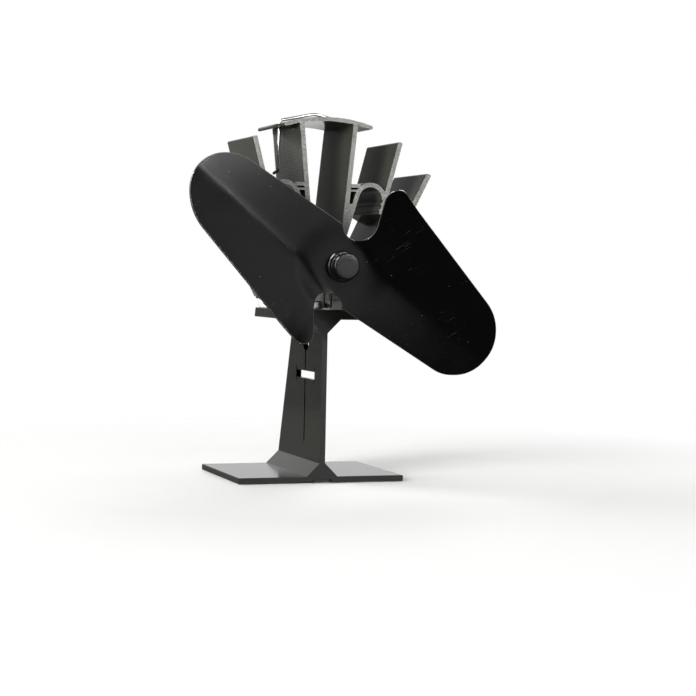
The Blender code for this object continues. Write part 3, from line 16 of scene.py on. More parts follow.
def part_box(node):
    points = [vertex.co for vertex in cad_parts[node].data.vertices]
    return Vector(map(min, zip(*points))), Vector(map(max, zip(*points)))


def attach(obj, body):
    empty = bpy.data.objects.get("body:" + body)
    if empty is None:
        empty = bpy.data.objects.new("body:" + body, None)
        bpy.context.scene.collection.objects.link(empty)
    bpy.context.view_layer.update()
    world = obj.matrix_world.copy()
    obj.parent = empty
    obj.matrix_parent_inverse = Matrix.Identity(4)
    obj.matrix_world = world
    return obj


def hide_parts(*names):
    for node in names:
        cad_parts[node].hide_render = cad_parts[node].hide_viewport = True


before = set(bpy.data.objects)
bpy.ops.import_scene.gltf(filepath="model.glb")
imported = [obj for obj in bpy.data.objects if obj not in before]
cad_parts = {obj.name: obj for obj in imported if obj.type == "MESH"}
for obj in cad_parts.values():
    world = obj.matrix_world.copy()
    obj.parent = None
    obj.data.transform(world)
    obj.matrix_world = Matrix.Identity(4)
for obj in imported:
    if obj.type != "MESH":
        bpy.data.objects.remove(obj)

LOG = logging.getLogger("stove_fan")
MM = 0.001
WHITE = (1.0, 1.0, 1.0, 1.0)
# Black: the colour of the painted shade on the walls of narrow cuts.
PAINTED_SHADE_BLACK = (0.0, 0.0, 0.0, 1.0)
# Width of the photograph in pixels, and of the camera's sensor in millimetres.
PHOTO_SIDE = 696
SENSOR_WIDTH = 36.0
# Most degrees between two points of an arc, for small bends and for the large ones that show.
ARC_STEP = 6.0
FINE_ARC_STEP = 3.0
# Most of a noise's values lie between these two, and each finer octave is this much weaker.
NOISE_LOW, NOISE_HIGH = 0.3, 0.7
NOISE_FADE = 0.6
# How far a fine grain moves the roughness to both sides of a finish's own.
ROUGH_SPREAD = 0.05
# The plane half way back in the generator and the handle, behind the front of both extrusions.
MIDDLE_DEPTH = 29.1 * MM

Array = np.ndarray
Socket = bpy.types.NodeSocket
Tree = bpy.types.NodeTree


class Body(str, Enum):
    """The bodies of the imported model."""

    FRAME = "frame"
    ROTOR = "rotor"
    HANDLE = "handle"
    STRIP = "strip"


def linear(code: str) -> tuple[float, float, float, float]:
    """The linear colour of an sRGB hex value.

    Args:
        code: six hex digits after a hash sign.

    Returns:
        Red, green, blue and alpha as Blender's sockets take them.
    """
    parts = [int(code[place : place + 2], 16) / 255 for place in (1, 3, 5)]
    red, green, blue = (
        part / 12.92 if part <= 0.04045 else ((part + 0.055) / 1.055) ** 2.4 for part in parts
    )
    return red, green, blue, 1.0


def add_node(tree: Tree, kind: str, inputs: dict, output: int = 0, **settings: object) -> Socket:
    """Adds a node, sets it, fills or links its inputs, and gives one of its outputs.

    Args:
        tree: the material's or the world's node tree.
        kind: the node's type.
        inputs: socket name or number to a value, or to the output that feeds it.
        output: number of the output to give back.
        settings: the node's own properties by name.

    Returns:
        The output asked for.
    """
    node = tree.nodes.new(kind)
    for name, value in settings.items():
        setattr(node, name, value)
    for name, value in inputs.items():
        if isinstance(value, Socket):
            tree.links.new(value, node.inputs[name])
        elif node.inputs[name].type == "VECTOR":
            node.inputs[name].default_value = value[:3]
        else:
            node.inputs[name].default_value = value
    return node.outputs[output]


@dataclass(frozen=True)
class Finish:
    """A plain finish: a mottled colour with a fine even grain, from a name and the shader's numbers."""

    name: str
    colour: str
    roughness: float
    metallic: float = 0.0
    specular: float = 0.5
    mottle_shade: float = 0.8
    mottle_size: float = 9.0 * MM
    grain_size: float = 0.9 * MM
    grain_height: float = 0.02 * MM
    edge_tint: str = "#ffffff"

    def material(self) -> bpy.types.Material:
        """The finish as a material, made the first time that it is asked for.

        Returns:
            The material, the same one each time.
        """
        known = bpy.data.materials.get(self.name)
        if known is not None:
            return known
        material = bpy.data.materials.new(self.name)
        material.use_nodes = True
        material.diffuse_color = linear(self.colour)
        tree = material.node_tree
        shader = tree.nodes["Principled BSDF"]
        shader.inputs["Base Color"].default_value = linear(self.colour)
        shader.inputs["Roughness"].default_value = self.roughness
        shader.inputs["Metallic"].default_value = self.metallic
        shader.inputs["Specular IOR Level"].default_value = self.specular
        shader.inputs["Specular Tint"].default_value = linear(self.edge_tint)
        place = add_node(tree, "ShaderNodeTexCoord", {}, 3)
        self.pattern(tree, shader.inputs, place)
        return material

    def noise(self, tree: Tree, place: Socket, sizes: tuple[float, float, float], detail: float,
              low: float, high: float) -> Socket:
        """Noise whose cells have real sizes, stretched to run from one number to another.

        Args:
            tree: the material's node tree.
            place: object coordinates.
            sizes: the cells' size along each axis, in metres.
            detail: octaves of finer noise.
            low: the least result.
            high: the greatest result.

        Returns:
            The stretched noise.
        """
        cells = add_node(tree, "ShaderNodeMapping", {
            "Vector": place, "Scale": tuple(1 / size for size in sizes)})
        noise = add_node(tree, "ShaderNodeTexNoise", {
            "Vector": cells, "Scale": 1.0, "Detail": detail, "Roughness": NOISE_FADE})
        return add_node(tree, "ShaderNodeMapRange", {
            "Value": noise, "From Min": NOISE_LOW, "From Max": NOISE_HIGH, "To Min": low, "To Max": high})

    def mottled(self, tree: Tree, place: Socket, code: str) -> Socket:
        """A colour with slow, faint shade changes, as on a surface that was dipped, rolled or moulded.

        Args:
            tree: the material's node tree.
            place: object coordinates.
            code: the colour as a hex value.

        Returns:
            The mottled colour.
        """
        shade = self.noise(tree, place, (self.mottle_size,) * 3, 4.0, self.mottle_shade, 1.0)
        return add_node(tree, "ShaderNodeVectorMath", {0: linear(code), "Scale": shade}, operation="SCALE")

    def pattern(self, tree: Tree, inputs: bpy.types.NodeInputs, place: Socket) -> None:
        """Adds this finish's own detail: here, a mottled colour and a fine even grain.

        Args:
            tree: the material's node tree.
            inputs: the shader's inputs.
            place: object coordinates.
        """
        tree.links.new(self.mottled(tree, place, self.colour), inputs["Base Color"])
        grain = self.noise(tree, place, (self.grain_size,) * 3, 3.0, 0.0, 1.0)
        rough = add_node(tree, "ShaderNodeMapRange", {
            "Value": grain, "To Min": self.roughness - ROUGH_SPREAD,
            "To Max": self.roughness + ROUGH_SPREAD})
        tree.links.new(rough, inputs["Roughness"])
        bump = add_node(tree, "ShaderNodeBump", {
            "Height": grain, "Distance": self.grain_height, "Strength": 1.0})
        tree.links.new(bump, inputs["Normal"])


@dataclass(frozen=True)
class AnodisedExtrusion(Finish):
    """Black anodised aluminium as it left the die, sawn to length at both ends.

    The die draws faint straight lines along the depth of every side face. The ends are told apart by the
    share of Y in the way they face, which rises from side_share to end_share over a rounded edge. They
    have short saw marks and a speckle of torn grains. The walls of openings that face forward but lie
    behind the y where the painted shade starts get painted shade: black and without gloss, standing in for
    the shade inside any narrow cut. Unless that y is set it lies past the whole piece, which then has no
    painted shade.
    """

    side_share: float = 0.35
    end_share: float = 0.55
    end_colour: str = "#b4b4af"
    end_roughness: float = 0.5
    end_shade: float = 0.22
    end_light: float = 1.12
    saw_mark_pitch: float = 0.55 * MM
    saw_mark_length: float = 1.1 * MM
    die_line_pitch: float = 1.3 * MM
    die_line_length: float = 900.0 * MM
    die_line_shade: float = 0.86
    die_line_light: float = 1.08
    # The y where painted shade starts on forward-facing walls, and the depth over which it fades in.
    painted_shade_start: float = 1.0
    painted_shade_blend: float = 1.0 * MM

    def pattern(self, tree: Tree, inputs: bpy.types.NodeInputs, place: Socket) -> None:
        """Die lines on the sides, saw marks and speckle on the ends, painted shade on the walls in the
        openings.
        """
        along = add_node(tree, "ShaderNodeSeparateXYZ", {0: place.node.outputs["Normal"]}, 1)
        facing = add_node(tree, "ShaderNodeMath", {0: along}, operation="ABSOLUTE")
        end = add_node(tree, "ShaderNodeMapRange", {
            "Value": facing, "From Min": self.side_share, "From Max": self.end_share})
        # Painted shade for the walls of narrow cuts: forward-facing faces behind the start y turn black and
        # lose their gloss.
        forward = add_node(tree, "ShaderNodeMapRange", {
            "Value": along, "From Min": -self.side_share, "From Max": -self.end_share})
        depth = add_node(tree, "ShaderNodeSeparateXYZ", {0: place}, 1)
        behind = add_node(tree, "ShaderNodeMapRange", {
            "Value": depth, "From Min": self.painted_shade_start, "From Max": self.painted_shade_start + self.painted_shade_blend})
        painted_shade = add_node(tree, "ShaderNodeMath", {0: forward, 1: behind}, operation="MULTIPLY")
        lines = self.noise(tree, place, (self.die_line_pitch, self.die_line_length, self.die_line_pitch), 3.0,
                           self.die_line_shade, self.die_line_light)
        marks = self.noise(tree, place, (self.saw_mark_length, self.saw_mark_pitch, self.saw_mark_pitch), 6.0,
                           self.end_shade, self.end_light)
        side = add_node(tree, "ShaderNodeVectorMath", {
            0: self.mottled(tree, place, self.colour), "Scale": lines}, operation="SCALE")
        cut = add_node(tree, "ShaderNodeVectorMath", {
            0: self.mottled(tree, place, self.end_colour), "Scale": marks}, operation="SCALE")
        outer = add_node(tree, "ShaderNodeMix", {0: end, 6: side, 7: cut}, 2, data_type="RGBA")
        height = add_node(tree, "ShaderNodeMix", {0: end, 2: lines, 3: marks}, data_type="FLOAT")
        for name, value in (
            ("Base Color", add_node(tree, "ShaderNodeMix", {0: painted_shade, 6: outer, 7: PAINTED_SHADE_BLACK}, 2,
                                    data_type="RGBA")),
            ("Roughness", add_node(tree, "ShaderNodeMapRange", {
                "Value": end, "To Min": self.roughness, "To Max": self.end_roughness})),
            ("Specular IOR Level", add_node(tree, "ShaderNodeMapRange", {
                "Value": painted_shade, "To Min": self.specular, "To Max": 0.0})),
            ("Normal", add_node(tree, "ShaderNodeBump", {
                "Height": height, "Distance": self.grain_height, "Strength": 1.0})),
        ):
            tree.links.new(value, inputs[name])


@dataclass(frozen=True)
class CoatedSheet(Finish):
    """Satin black coating on stamped aluminium sheet: smooth orange peel, cloudy sheen, scattered dust.

    Hair scratches show where a long thin noise passes scratch_start, and only in some patches.
    """

    speck_pitch: float = 6.5 * MM
    speck_size: float = 0.35 * MM
    speck_colour: str = "#7a7a76"
    cloud_size: float = 16.0 * MM
    scratch_length: float = 14.0 * MM
    scratch_width: float = 0.35 * MM
    scratch_slant: float = 35.0
    scratch_start: float = 0.95
    scratch_shade: float = 0.9
    patch_size: float = 32.0 * MM
    patch_range: float = 0.6

    def pattern(self, tree: Tree, inputs: bpy.types.NodeInputs, place: Socket) -> None:
        """Faint mottle, specks, a few hair scratches, cloudy roughness and an orange-peel bump."""
        cells = add_node(tree, "ShaderNodeMapping", {"Vector": place, "Scale": (1 / self.speck_pitch,) * 3})
        near = add_node(tree, "ShaderNodeTexVoronoi", {"Vector": cells, "Scale": 1.0, "Randomness": 1.0})
        speck = add_node(tree, "ShaderNodeMapRange", {
            "Value": near, "From Min": self.speck_size / self.speck_pitch, "From Max": 0.0})
        colour = add_node(tree, "ShaderNodeMix", {
            0: speck, 6: self.mottled(tree, place, self.colour), 7: linear(self.speck_colour)},
            2, data_type="RGBA")
        slanted = add_node(tree, "ShaderNodeMapping", {
            "Vector": place, "Rotation": (0.0, math.radians(self.scratch_slant), 0.0)})
        hair = self.noise(tree, slanted, (self.scratch_length, 1.0, self.scratch_width), 2.0, 0.0, 1.0)
        patch = self.noise(tree, place, (self.patch_size,) * 3, 1.0, -self.patch_range, self.patch_range)
        bare = add_node(tree, "ShaderNodeMapRange", {
            "Value": hair, "From Min": self.scratch_start, "From Max": 1.0, "To Max": self.scratch_shade})
        scratch = add_node(tree, "ShaderNodeMath", {0: bare, 1: patch}, operation="MULTIPLY",
                           use_clamp=True)
        colour = add_node(tree, "ShaderNodeMix", {0: scratch, 6: colour, 7: linear(self.speck_colour)}, 2,
                          data_type="RGBA")
        rough = self.noise(tree, place, (self.cloud_size,) * 3, 5.0,
                           self.roughness - ROUGH_SPREAD, self.roughness + ROUGH_SPREAD)
        peel = self.noise(tree, place, (self.grain_size,) * 3, 2.0, 0.0, 1.0)
        bump = add_node(tree, "ShaderNodeBump", {
            "Height": peel, "Distance": self.grain_height, "Strength": 1.0})
        for name, value in (("Base Color", colour), ("Roughness", rough), ("Normal", bump)):
            tree.links.new(value, inputs[name])


@dataclass(frozen=True)
class TurnedFace(Finish):
    """A piece turned in a lathe or moulded in a turned tool: fine rings about the rotor's axis, along Y."""

    ring_pitch: float = 0.7 * MM
    ring_height: float = 0.01 * MM
    axis_height: float = 140.0 * MM

    def pattern(self, tree: Tree, inputs: bpy.types.NodeInputs, place: Socket) -> None:
        """Rings from the sine of the distance to the axis, over the plain mottle and grain."""
        super().pattern(tree, inputs, place)
        centred = add_node(tree, "ShaderNodeMapping", {
            "Vector": place, "Location": (0.0, 0.0, -self.axis_height)})
        flat = add_node(tree, "ShaderNodeVectorMath", {0: centred, 1: (1.0, 0.0, 1.0)},
                        operation="MULTIPLY")
        away = add_node(tree, "ShaderNodeVectorMath", {0: flat}, 1, operation="LENGTH")
        phase = add_node(tree, "ShaderNodeMath", {0: away, 1: 2 * math.pi / self.ring_pitch},
                         operation="MULTIPLY")
        ring = add_node(tree, "ShaderNodeMath", {0: phase}, operation="SINE")
        grain = inputs["Normal"].links[0].from_socket
        bump = add_node(tree, "ShaderNodeBump", {
            "Height": ring, "Distance": self.ring_height, "Strength": 1.0, "Normal": grain})
        tree.links.new(bump, inputs["Normal"])


@dataclass(frozen=True)
class DrawnLine(Finish):
    """A wire or sleeve drawn through a die: fine lines that run along it, from its own UV map.

    The map's first number goes once round the piece, and its second is the distance along it in metres.
    """

    lines_round: float = 22.0
    line_length: float = 30.0 * MM
    line_shade: float = 0.8

    def pattern(self, tree: Tree, inputs: bpy.types.NodeInputs, place: Socket) -> None:
        """Long thin noise along the piece shades the colour and lifts a little bump."""
        spot = place.node.outputs["UV"]
        lines = self.noise(tree, spot, (1 / self.lines_round, self.line_length, 1.0), 3.0,
                           self.line_shade, 1.0)
        colour = add_node(tree, "ShaderNodeVectorMath", {
            0: self.mottled(tree, place, self.colour), "Scale": lines}, operation="SCALE")
        bump = add_node(tree, "ShaderNodeBump", {
            "Height": lines, "Distance": self.grain_height, "Strength": 1.0})
        tree.links.new(colour, inputs["Base Color"])
        tree.links.new(bump, inputs["Normal"])


@dataclass(frozen=True)
class LayeredStock(Finish):
    """Stock in layers across one axis, such as laminations, bonded strip or wound wire.

    A sine across the layers darkens the gap between two of them, from its lowest value up to gap_end, and
    rounds each layer.
    """

    layer_pitch: float = 0.5 * MM
    layer_axis: int = 1
    gap_end: float = -0.4
    gap_shade: float = 0.5

    def pattern(self, tree: Tree, inputs: bpy.types.NodeInputs, place: Socket) -> None:
        """Layers from a sine of the place along the axis, over the plain mottle."""
        across = add_node(tree, "ShaderNodeSeparateXYZ", {0: place}, self.layer_axis)
        phase = add_node(tree, "ShaderNodeMath", {0: across, 1: 2 * math.pi / self.layer_pitch},
                         operation="MULTIPLY")
        wave = add_node(tree, "ShaderNodeMath", {0: phase}, operation="SINE")
        shade = add_node(tree, "ShaderNodeMapRange", {
            "Value": wave, "From Min": -1.0, "From Max": self.gap_end, "To Min": self.gap_shade,
            "To Max": 1.0})
        colour = add_node(tree, "ShaderNodeVectorMath", {
            0: self.mottled(tree, place, self.colour), "Scale": shade}, operation="SCALE")
        bump = add_node(tree, "ShaderNodeBump", {
            "Height": wave, "Distance": self.grain_height, "Strength": 1.0})
        tree.links.new(colour, inputs["Base Color"])
        tree.links.new(bump, inputs["Normal"])


# Anodised aluminium extrusion: a smooth, very dark grey skin, a little mirror-like where it is seen edge
# on, with sawn ends of bare pale metal.
SINK_FINISH = AnodisedExtrusion(
    "anodised_aluminium_fins", "#35372f", 0.18, specular=0.14, grain_height=0.012 * MM)
# Aluminium anodised after it was sawn and pierced: its ends are as dark as its sides. The walls of its
# slit and openings get painted shade, black and without gloss. It begins 1 mm behind its front end.
STAND_FINISH = AnodisedExtrusion(
    "anodised_aluminium_stand", "#1e1f1b", 0.16, specular=0.24, grain_height=0.005 * MM,
    end_colour="#20211f", end_roughness=0.42, end_shade=0.8, painted_shade_start=-18.6 * MM)
# Satin coated aluminium sheet: near black, with a broad soft sheen where the sheet turns to the lamp.
BLADE_FINISH = CoatedSheet("satin_black_coated_sheet", "#050505", 0.22, specular=0.06)
# The same sheet's stamped edge, where the coating is thin: a fine pale line round the blade.
BLADE_EDGE_FINISH = Finish("stamped_sheet_edge", "#343532", 0.3, metallic=0.4, mottle_shade=0.85,
                           grain_height=0.002 * MM)
# Moulded phenolic: hard dark plastic, cloudy and slightly uneven, with the tool's faint turning rings.
KNOB_FINISH = TurnedFace(
    "moulded_phenolic_knob", "#101110", 0.2, specular=0.2, grain_size=1.1 * MM,
    grain_height=0.06 * MM, mottle_size=1.6 * MM, mottle_shade=0.15, ring_height=0.003 * MM)
# Drawn stainless wire: bright, with fine dark lines along it.
# Its dark edge tint is painted shade: the gloss darkens where the wire turns away from the eye.
WIRE_FINISH = DrawnLine("drawn_stainless_wire", "#d9d9d6", 0.2, metallic=1.0, mottle_shade=0.92,
                        edge_tint="#2c2c2c")
# Fired alumina: matt chalky white plate.
CERAMIC_FINISH = Finish("fired_alumina", "#e2e0da", 0.6, grain_size=0.4 * MM)
# Pressed graphite foil: dark grey with a dull metal glint.
GRAPHITE_FINISH = Finish("pressed_graphite_foil", "#3a3a3c", 0.5, metallic=0.3, mottle_size=4 * MM)
# Ceramic fibre paper: soft matt white gasket with a felted, fibrous skin.
GASKET_FINISH = Finish("ceramic_fibre_paper", "#e4e2da", 0.9, specular=0.1, mottle_shade=0.85,
                       mottle_size=3 * MM, grain_size=0.5 * MM, grain_height=0.1 * MM)
# Cured silicone: soft off-white sealing bead.
SEAL_FINISH = Finish("cured_silicone_seal", "#bdbdb7", 0.5, grain_size=1.5 * MM, grain_height=0.08 * MM)
# Rolled bimetal: dark heat-stained metal, with a line between its two bonded layers.
BIMETAL_FINISH = LayeredStock("rolled_bimetal", "#55514b", 0.36, metallic=1.0, layer_pitch=0.8 * MM,
                              layer_axis=2, grain_height=0.01 * MM)
# Zinc plated steel: bluish bright metal with a slightly cloudy passivated skin.
ZINC_FINISH = Finish("zinc_plated_steel", "#b4b6b8", 0.3, metallic=1.0, mottle_size=3 * MM,
                     grain_height=0.004 * MM)
# Ground steel shaft: bright metal with fine rings from grinding.
SHAFT_FINISH = TurnedFace("ground_steel_shaft", "#bfbfbd", 0.22, metallic=1.0, grain_height=0.004 * MM,
                          ring_height=0.002 * MM)
# Pressed fibre board: brown, matt and felted.
FIBRE_FINISH = Finish("pressed_fibre", "#6b5646", 0.7, grain_size=0.6 * MM, grain_height=0.05 * MM)
# Moulded silicone rubber: matt black with a soft skin.
RUBBER_FINISH = Finish("moulded_rubber", "#1c1c1c", 0.65, grain_size=0.5 * MM, grain_height=0.03 * MM)
# Nickel plated drawn can: bright and slightly warm, with rings from drawing.
CAN_FINISH = TurnedFace("nickel_plated_can", "#a8a69f", 0.26, metallic=1.0, ring_pitch=0.9 * MM,
                        grain_height=0.003 * MM, ring_height=0.003 * MM)
# Sintered ferrite: dull charcoal with a sandy skin.
MAGNET_FINISH = Finish("sintered_ferrite", "#3a3a3d", 0.7, grain_size=0.4 * MM, grain_height=0.04 * MM)
# Sintered bronze: porous brown-gold bearing metal.
BRONZE_FINISH = Finish("sintered_bronze", "#a97a4a", 0.45, metallic=1.0, grain_size=0.3 * MM)
# Stacked electrical steel: grey sheets with dark lines between them.
LAMINATION_FINISH = LayeredStock("stacked_electrical_steel", "#8d8e90", 0.42, metallic=1.0,
                                 layer_pitch=0.5 * MM)
# Enamelled copper wire: glossy orange-brown turns laid side by side.
COPPER_FINISH = LayeredStock("enamelled_copper_wire", "#a9582b", 0.28, metallic=1.0, layer_pitch=0.35 * MM)
# Turned copper: bright salmon segments of the commutator.
COMMUTATOR_FINISH = TurnedFace("turned_copper", "#b8714b", 0.3, metallic=1.0)
# Tinned brass spring strip: pale yellow metal with rolling marks.
BRASS_FINISH = Finish("tinned_brass_strip", "#b8a878", 0.32, metallic=1.0, grain_size=0.5 * MM)
# Moulded nylon: milky off-white end cap.
NYLON_FINISH = Finish("moulded_nylon", "#c9c3b0", 0.45, grain_size=0.8 * MM)
# Silicone sleeved leads: dull flexible tubing, one dark brown and one black.
BROWN_LEAD_FINISH = DrawnLine("brown_silicone_sleeve", "#2a1d19", 0.5, grain_height=0.03 * MM)
BLACK_LEAD_FINISH = DrawnLine("black_silicone_sleeve", "#171717", 0.5, grain_height=0.03 * MM)


def arc_corners(corners: Sequence[tuple[float, float, float]], step: float, closed: bool = True) -> Array:
    """An outline with an arc of its own radius at each corner.

    The arc touches both sides of the corner. Its centre lies on the corner's bisector, at the radius
    over the sine of half the corner's angle.

    Args:
        corners: first and second place and radius of each corner, in metres.
        step: the most degrees between two points of an arc.
        closed: whether the last corner joins the first. An open outline's end corners have radius 0.

    Returns:
        The outline's points, as rows of two places.
    """
    places = np.array([corner[:2] for corner in corners])
    before = np.roll(places, 1, axis=0) - places
    after = np.roll(places, -1, axis=0) - places
    before /= np.linalg.norm(before, axis=1, keepdims=True)
    after /= np.linalg.norm(after, axis=1, keepdims=True)
    opening = np.arccos(np.clip((before * after).sum(axis=1), -1, 1))
    cross = before[:, 0] * after[:, 1] - before[:, 1] * after[:, 0]
    rows = []
    for number, (place, one, two, angle, side) in enumerate(zip(places, before, after, opening, cross)):
        radius = corners[number][2]
        if radius == 0 or (not closed and number in (0, len(corners) - 1)):
            rows.append(place[None, :])
            continue
        middle = place + (one + two) / np.linalg.norm(one + two) * radius / math.sin(angle / 2)
        start = place + one * radius / math.tan(angle / 2) - middle
        turn = (math.pi - angle) * (-1 if side > 0 else 1)
        turns = np.linspace(0, turn, max(2, math.ceil(math.degrees(abs(turn)) / step)) + 1)
        cos, sin = np.cos(turns), np.sin(turns)
        rows.append(middle + np.column_stack((start[0] * cos - start[1] * sin,
                                              start[0] * sin + start[1] * cos)))
    return np.vstack(rows)


def outward_directions(loop: Array, hole: bool = False) -> Array:
    """The direction square to a closed loop at each of its points, away from the sheet that it bounds.

    Args:
        loop: rows of two places.
        hole: whether the sheet lies outside the loop.

    Returns:
        A direction of length 1 for each point.
    """
    turned = np.roll(loop, -1, axis=0)
    area = (loop[:, 0] * turned[:, 1] - turned[:, 0] * loop[:, 1]).sum()
    ahead = turned - np.roll(loop, 1, axis=0)
    ahead *= math.copysign(1, -area if hole else area) / np.linalg.norm(ahead, axis=1, keepdims=True)
    return np.column_stack((ahead[:, 1], -ahead[:, 0]))


def evenly_spaced(outline: Array, spacing: float) -> Array:
    """A closed outline with points added along its sides.

    Args:
        outline: rows of two places.
        spacing: the most that two neighbours may lie apart.

    Returns:
        The outline's points and the added ones, in order.
    """
    ahead = np.roll(outline, -1, axis=0)
    counts = np.maximum(1, np.ceil(np.linalg.norm(ahead - outline, axis=1) / spacing).astype(int))
    index = np.repeat(np.arange(len(outline)), counts)
    starts = np.repeat(np.cumsum(counts) - counts, counts)
    share = (np.arange(counts.sum()) - starts) / counts[index]
    return outline[index] * (1 - share[:, None]) + ahead[index] * share[:, None]


def inside_loops(spots: Array, loops: Sequence[Array]) -> Array:
    """Which spots lie inside an odd number of closed loops, by counting the sides to the right of each.

    Args:
        spots: rows of two places.
        loops: the closed loops, as rows of two places.

    Returns:
        True or false for each spot.
    """
    inside = np.zeros(len(spots), bool)
    for loop in loops:
        ahead = np.roll(loop, -1, axis=0)
        crossing = (loop[None, :, 1] > spots[:, None, 1]) != (ahead[None, :, 1] > spots[:, None, 1])
        gap = ahead[:, 1] - loop[:, 1]
        slope = (ahead[:, 0] - loop[:, 0]) / np.where(gap == 0, 1, gap)
        meets = slope * (spots[:, None, 1] - loop[:, 1]) + loop[:, 0]
        inside ^= (crossing & (spots[:, None, 0] < meets)).sum(axis=1) % 2 == 1
    return inside


def trimmed_grid(loops: Sequence[Array], pitch: float, clearance: float = 0.55) -> tuple[Array, Array]:
    """Triangles over a square grid of points trimmed by closed loops.

    Args:
        loops: the outer loop and any holes, as rows of two places.
        pitch: spacing of the grid.
        clearance: the share of the pitch that the grid keeps away from the loops' points.

    Returns:
        The points, the loops' own first and in order, and the triangles' point numbers.
    """
    edge = np.vstack(loops)
    low, high = edge.min(axis=0), edge.max(axis=0)
    grid = np.stack(np.meshgrid(*(np.arange(low[axis], high[axis], pitch) for axis in (0, 1)),
                                indexing="ij"), axis=-1).reshape(-1, 2)
    nearest = np.linalg.norm(grid[:, None, :] - edge[None, :, :], axis=2).min(axis=1)
    grid = grid[inside_loops(grid, loops) & (nearest > clearance * pitch)]
    sizes = np.array([len(loop) for loop in loops])
    starts = np.repeat(np.cumsum(sizes) - sizes, sizes)
    here = np.arange(len(edge))
    ahead = starts + (here - starts + 1) % np.repeat(sizes, sizes)
    spots = [Vector(point) for point in np.vstack((edge, grid)).tolist()]
    made = delaunay_2d_cdt(spots, np.column_stack((here, ahead)).tolist(), [], 0, 1e-9)
    points, triangles = np.array([point[:] for point in made[0]]), np.array(made[2])
    return points, triangles[inside_loops(points[triangles].mean(axis=1), loops)]


def joined_rings(rings: Sequence[Array]) -> list:
    """The quads between each closed ring of points and the next.

    Args:
        rings: the point numbers of each ring, all equally many.

    Returns:
        The faces.
    """
    return [face for one, two in zip(rings, rings[1:])
            for face in np.column_stack((one, np.roll(one, -1), np.roll(two, -1), two)).tolist()]


def turned_surface(profile: Array, steps: int, height: float) -> tuple[Array, list]:
    """A profile turned about the line along Y at a height: each point goes round a circle of its radius.

    Args:
        profile: rows of radius and y, from pole to pole.
        steps: points round the circle.
        height: the axis's z.

    Returns:
        The points and the faces, with a fan of triangles at each pole.
    """
    around = np.linspace(0, 2 * math.pi, steps, endpoint=False)
    ring = profile[1:-1]
    radius, depth = ring[:, 0][:, None], ring[:, 1][:, None]
    points = np.stack((radius * np.cos(around), np.broadcast_to(depth, (len(ring), steps)),
                       radius * np.sin(around) + height), axis=-1).reshape(-1, 3)
    faces = joined_rings(np.arange(len(points)).reshape(-1, steps))
    first, last = len(points), len(points) + 1
    points = np.vstack((points, (0, profile[0, 1], height), (0, profile[-1, 1], height)))
    here, ahead = np.arange(steps), (np.arange(steps) + 1) % steps
    base = (len(ring) - 1) * steps
    faces += np.column_stack((np.full(steps, first), ahead, here)).tolist()
    faces += np.column_stack((np.full(steps, last), base + here, base + ahead)).tolist()
    return points, faces


def swept_tube(path: Array, radius: float, sides: int) -> tuple[Array, list, Array]:
    """A round section carried along a path, with a map of turns round it and metres along it.

    At each point the section's plane is square to the path. Its first direction is what is left of one
    fixed slanted direction once its share along the path is taken out, so the tube never twists suddenly.
    The slant is one that neither the leads nor the handle ever run along.

    Args:
        path: the middle line, as rows of x, y and z.
        radius: the tube's radius.
        sides: points round the section.

    Returns:
        The points, the faces with both ends closed, and the map's two numbers for each point.
    """
    along = np.gradient(path, axis=0)
    along /= np.linalg.norm(along, axis=1, keepdims=True)
    slant = np.array((0.62, 0.55, 0.56))
    across = slant - (along @ slant)[:, None] * along
    across /= np.linalg.norm(across, axis=1, keepdims=True)
    other = np.cross(along, across)
    around = np.linspace(0, 2 * math.pi, sides, endpoint=False)
    points = (path[:, None, :] + radius * (np.cos(around)[None, :, None] * across[:, None, :]
                                           + np.sin(around)[None, :, None] * other[:, None, :]))
    rings = np.arange(len(path) * sides).reshape(-1, sides)
    faces = joined_rings(rings) + [rings[0, ::-1].tolist(), rings[-1].tolist()]
    gone = np.concatenate(((0.0,), np.cumsum(np.linalg.norm(np.diff(path, axis=0), axis=1))))
    turns = np.abs(np.linspace(-1, 1, sides, endpoint=False))
    where = np.column_stack((np.tile(turns, len(path)), np.repeat(gone, sides)))
    return points.reshape(-1, 3), faces, where


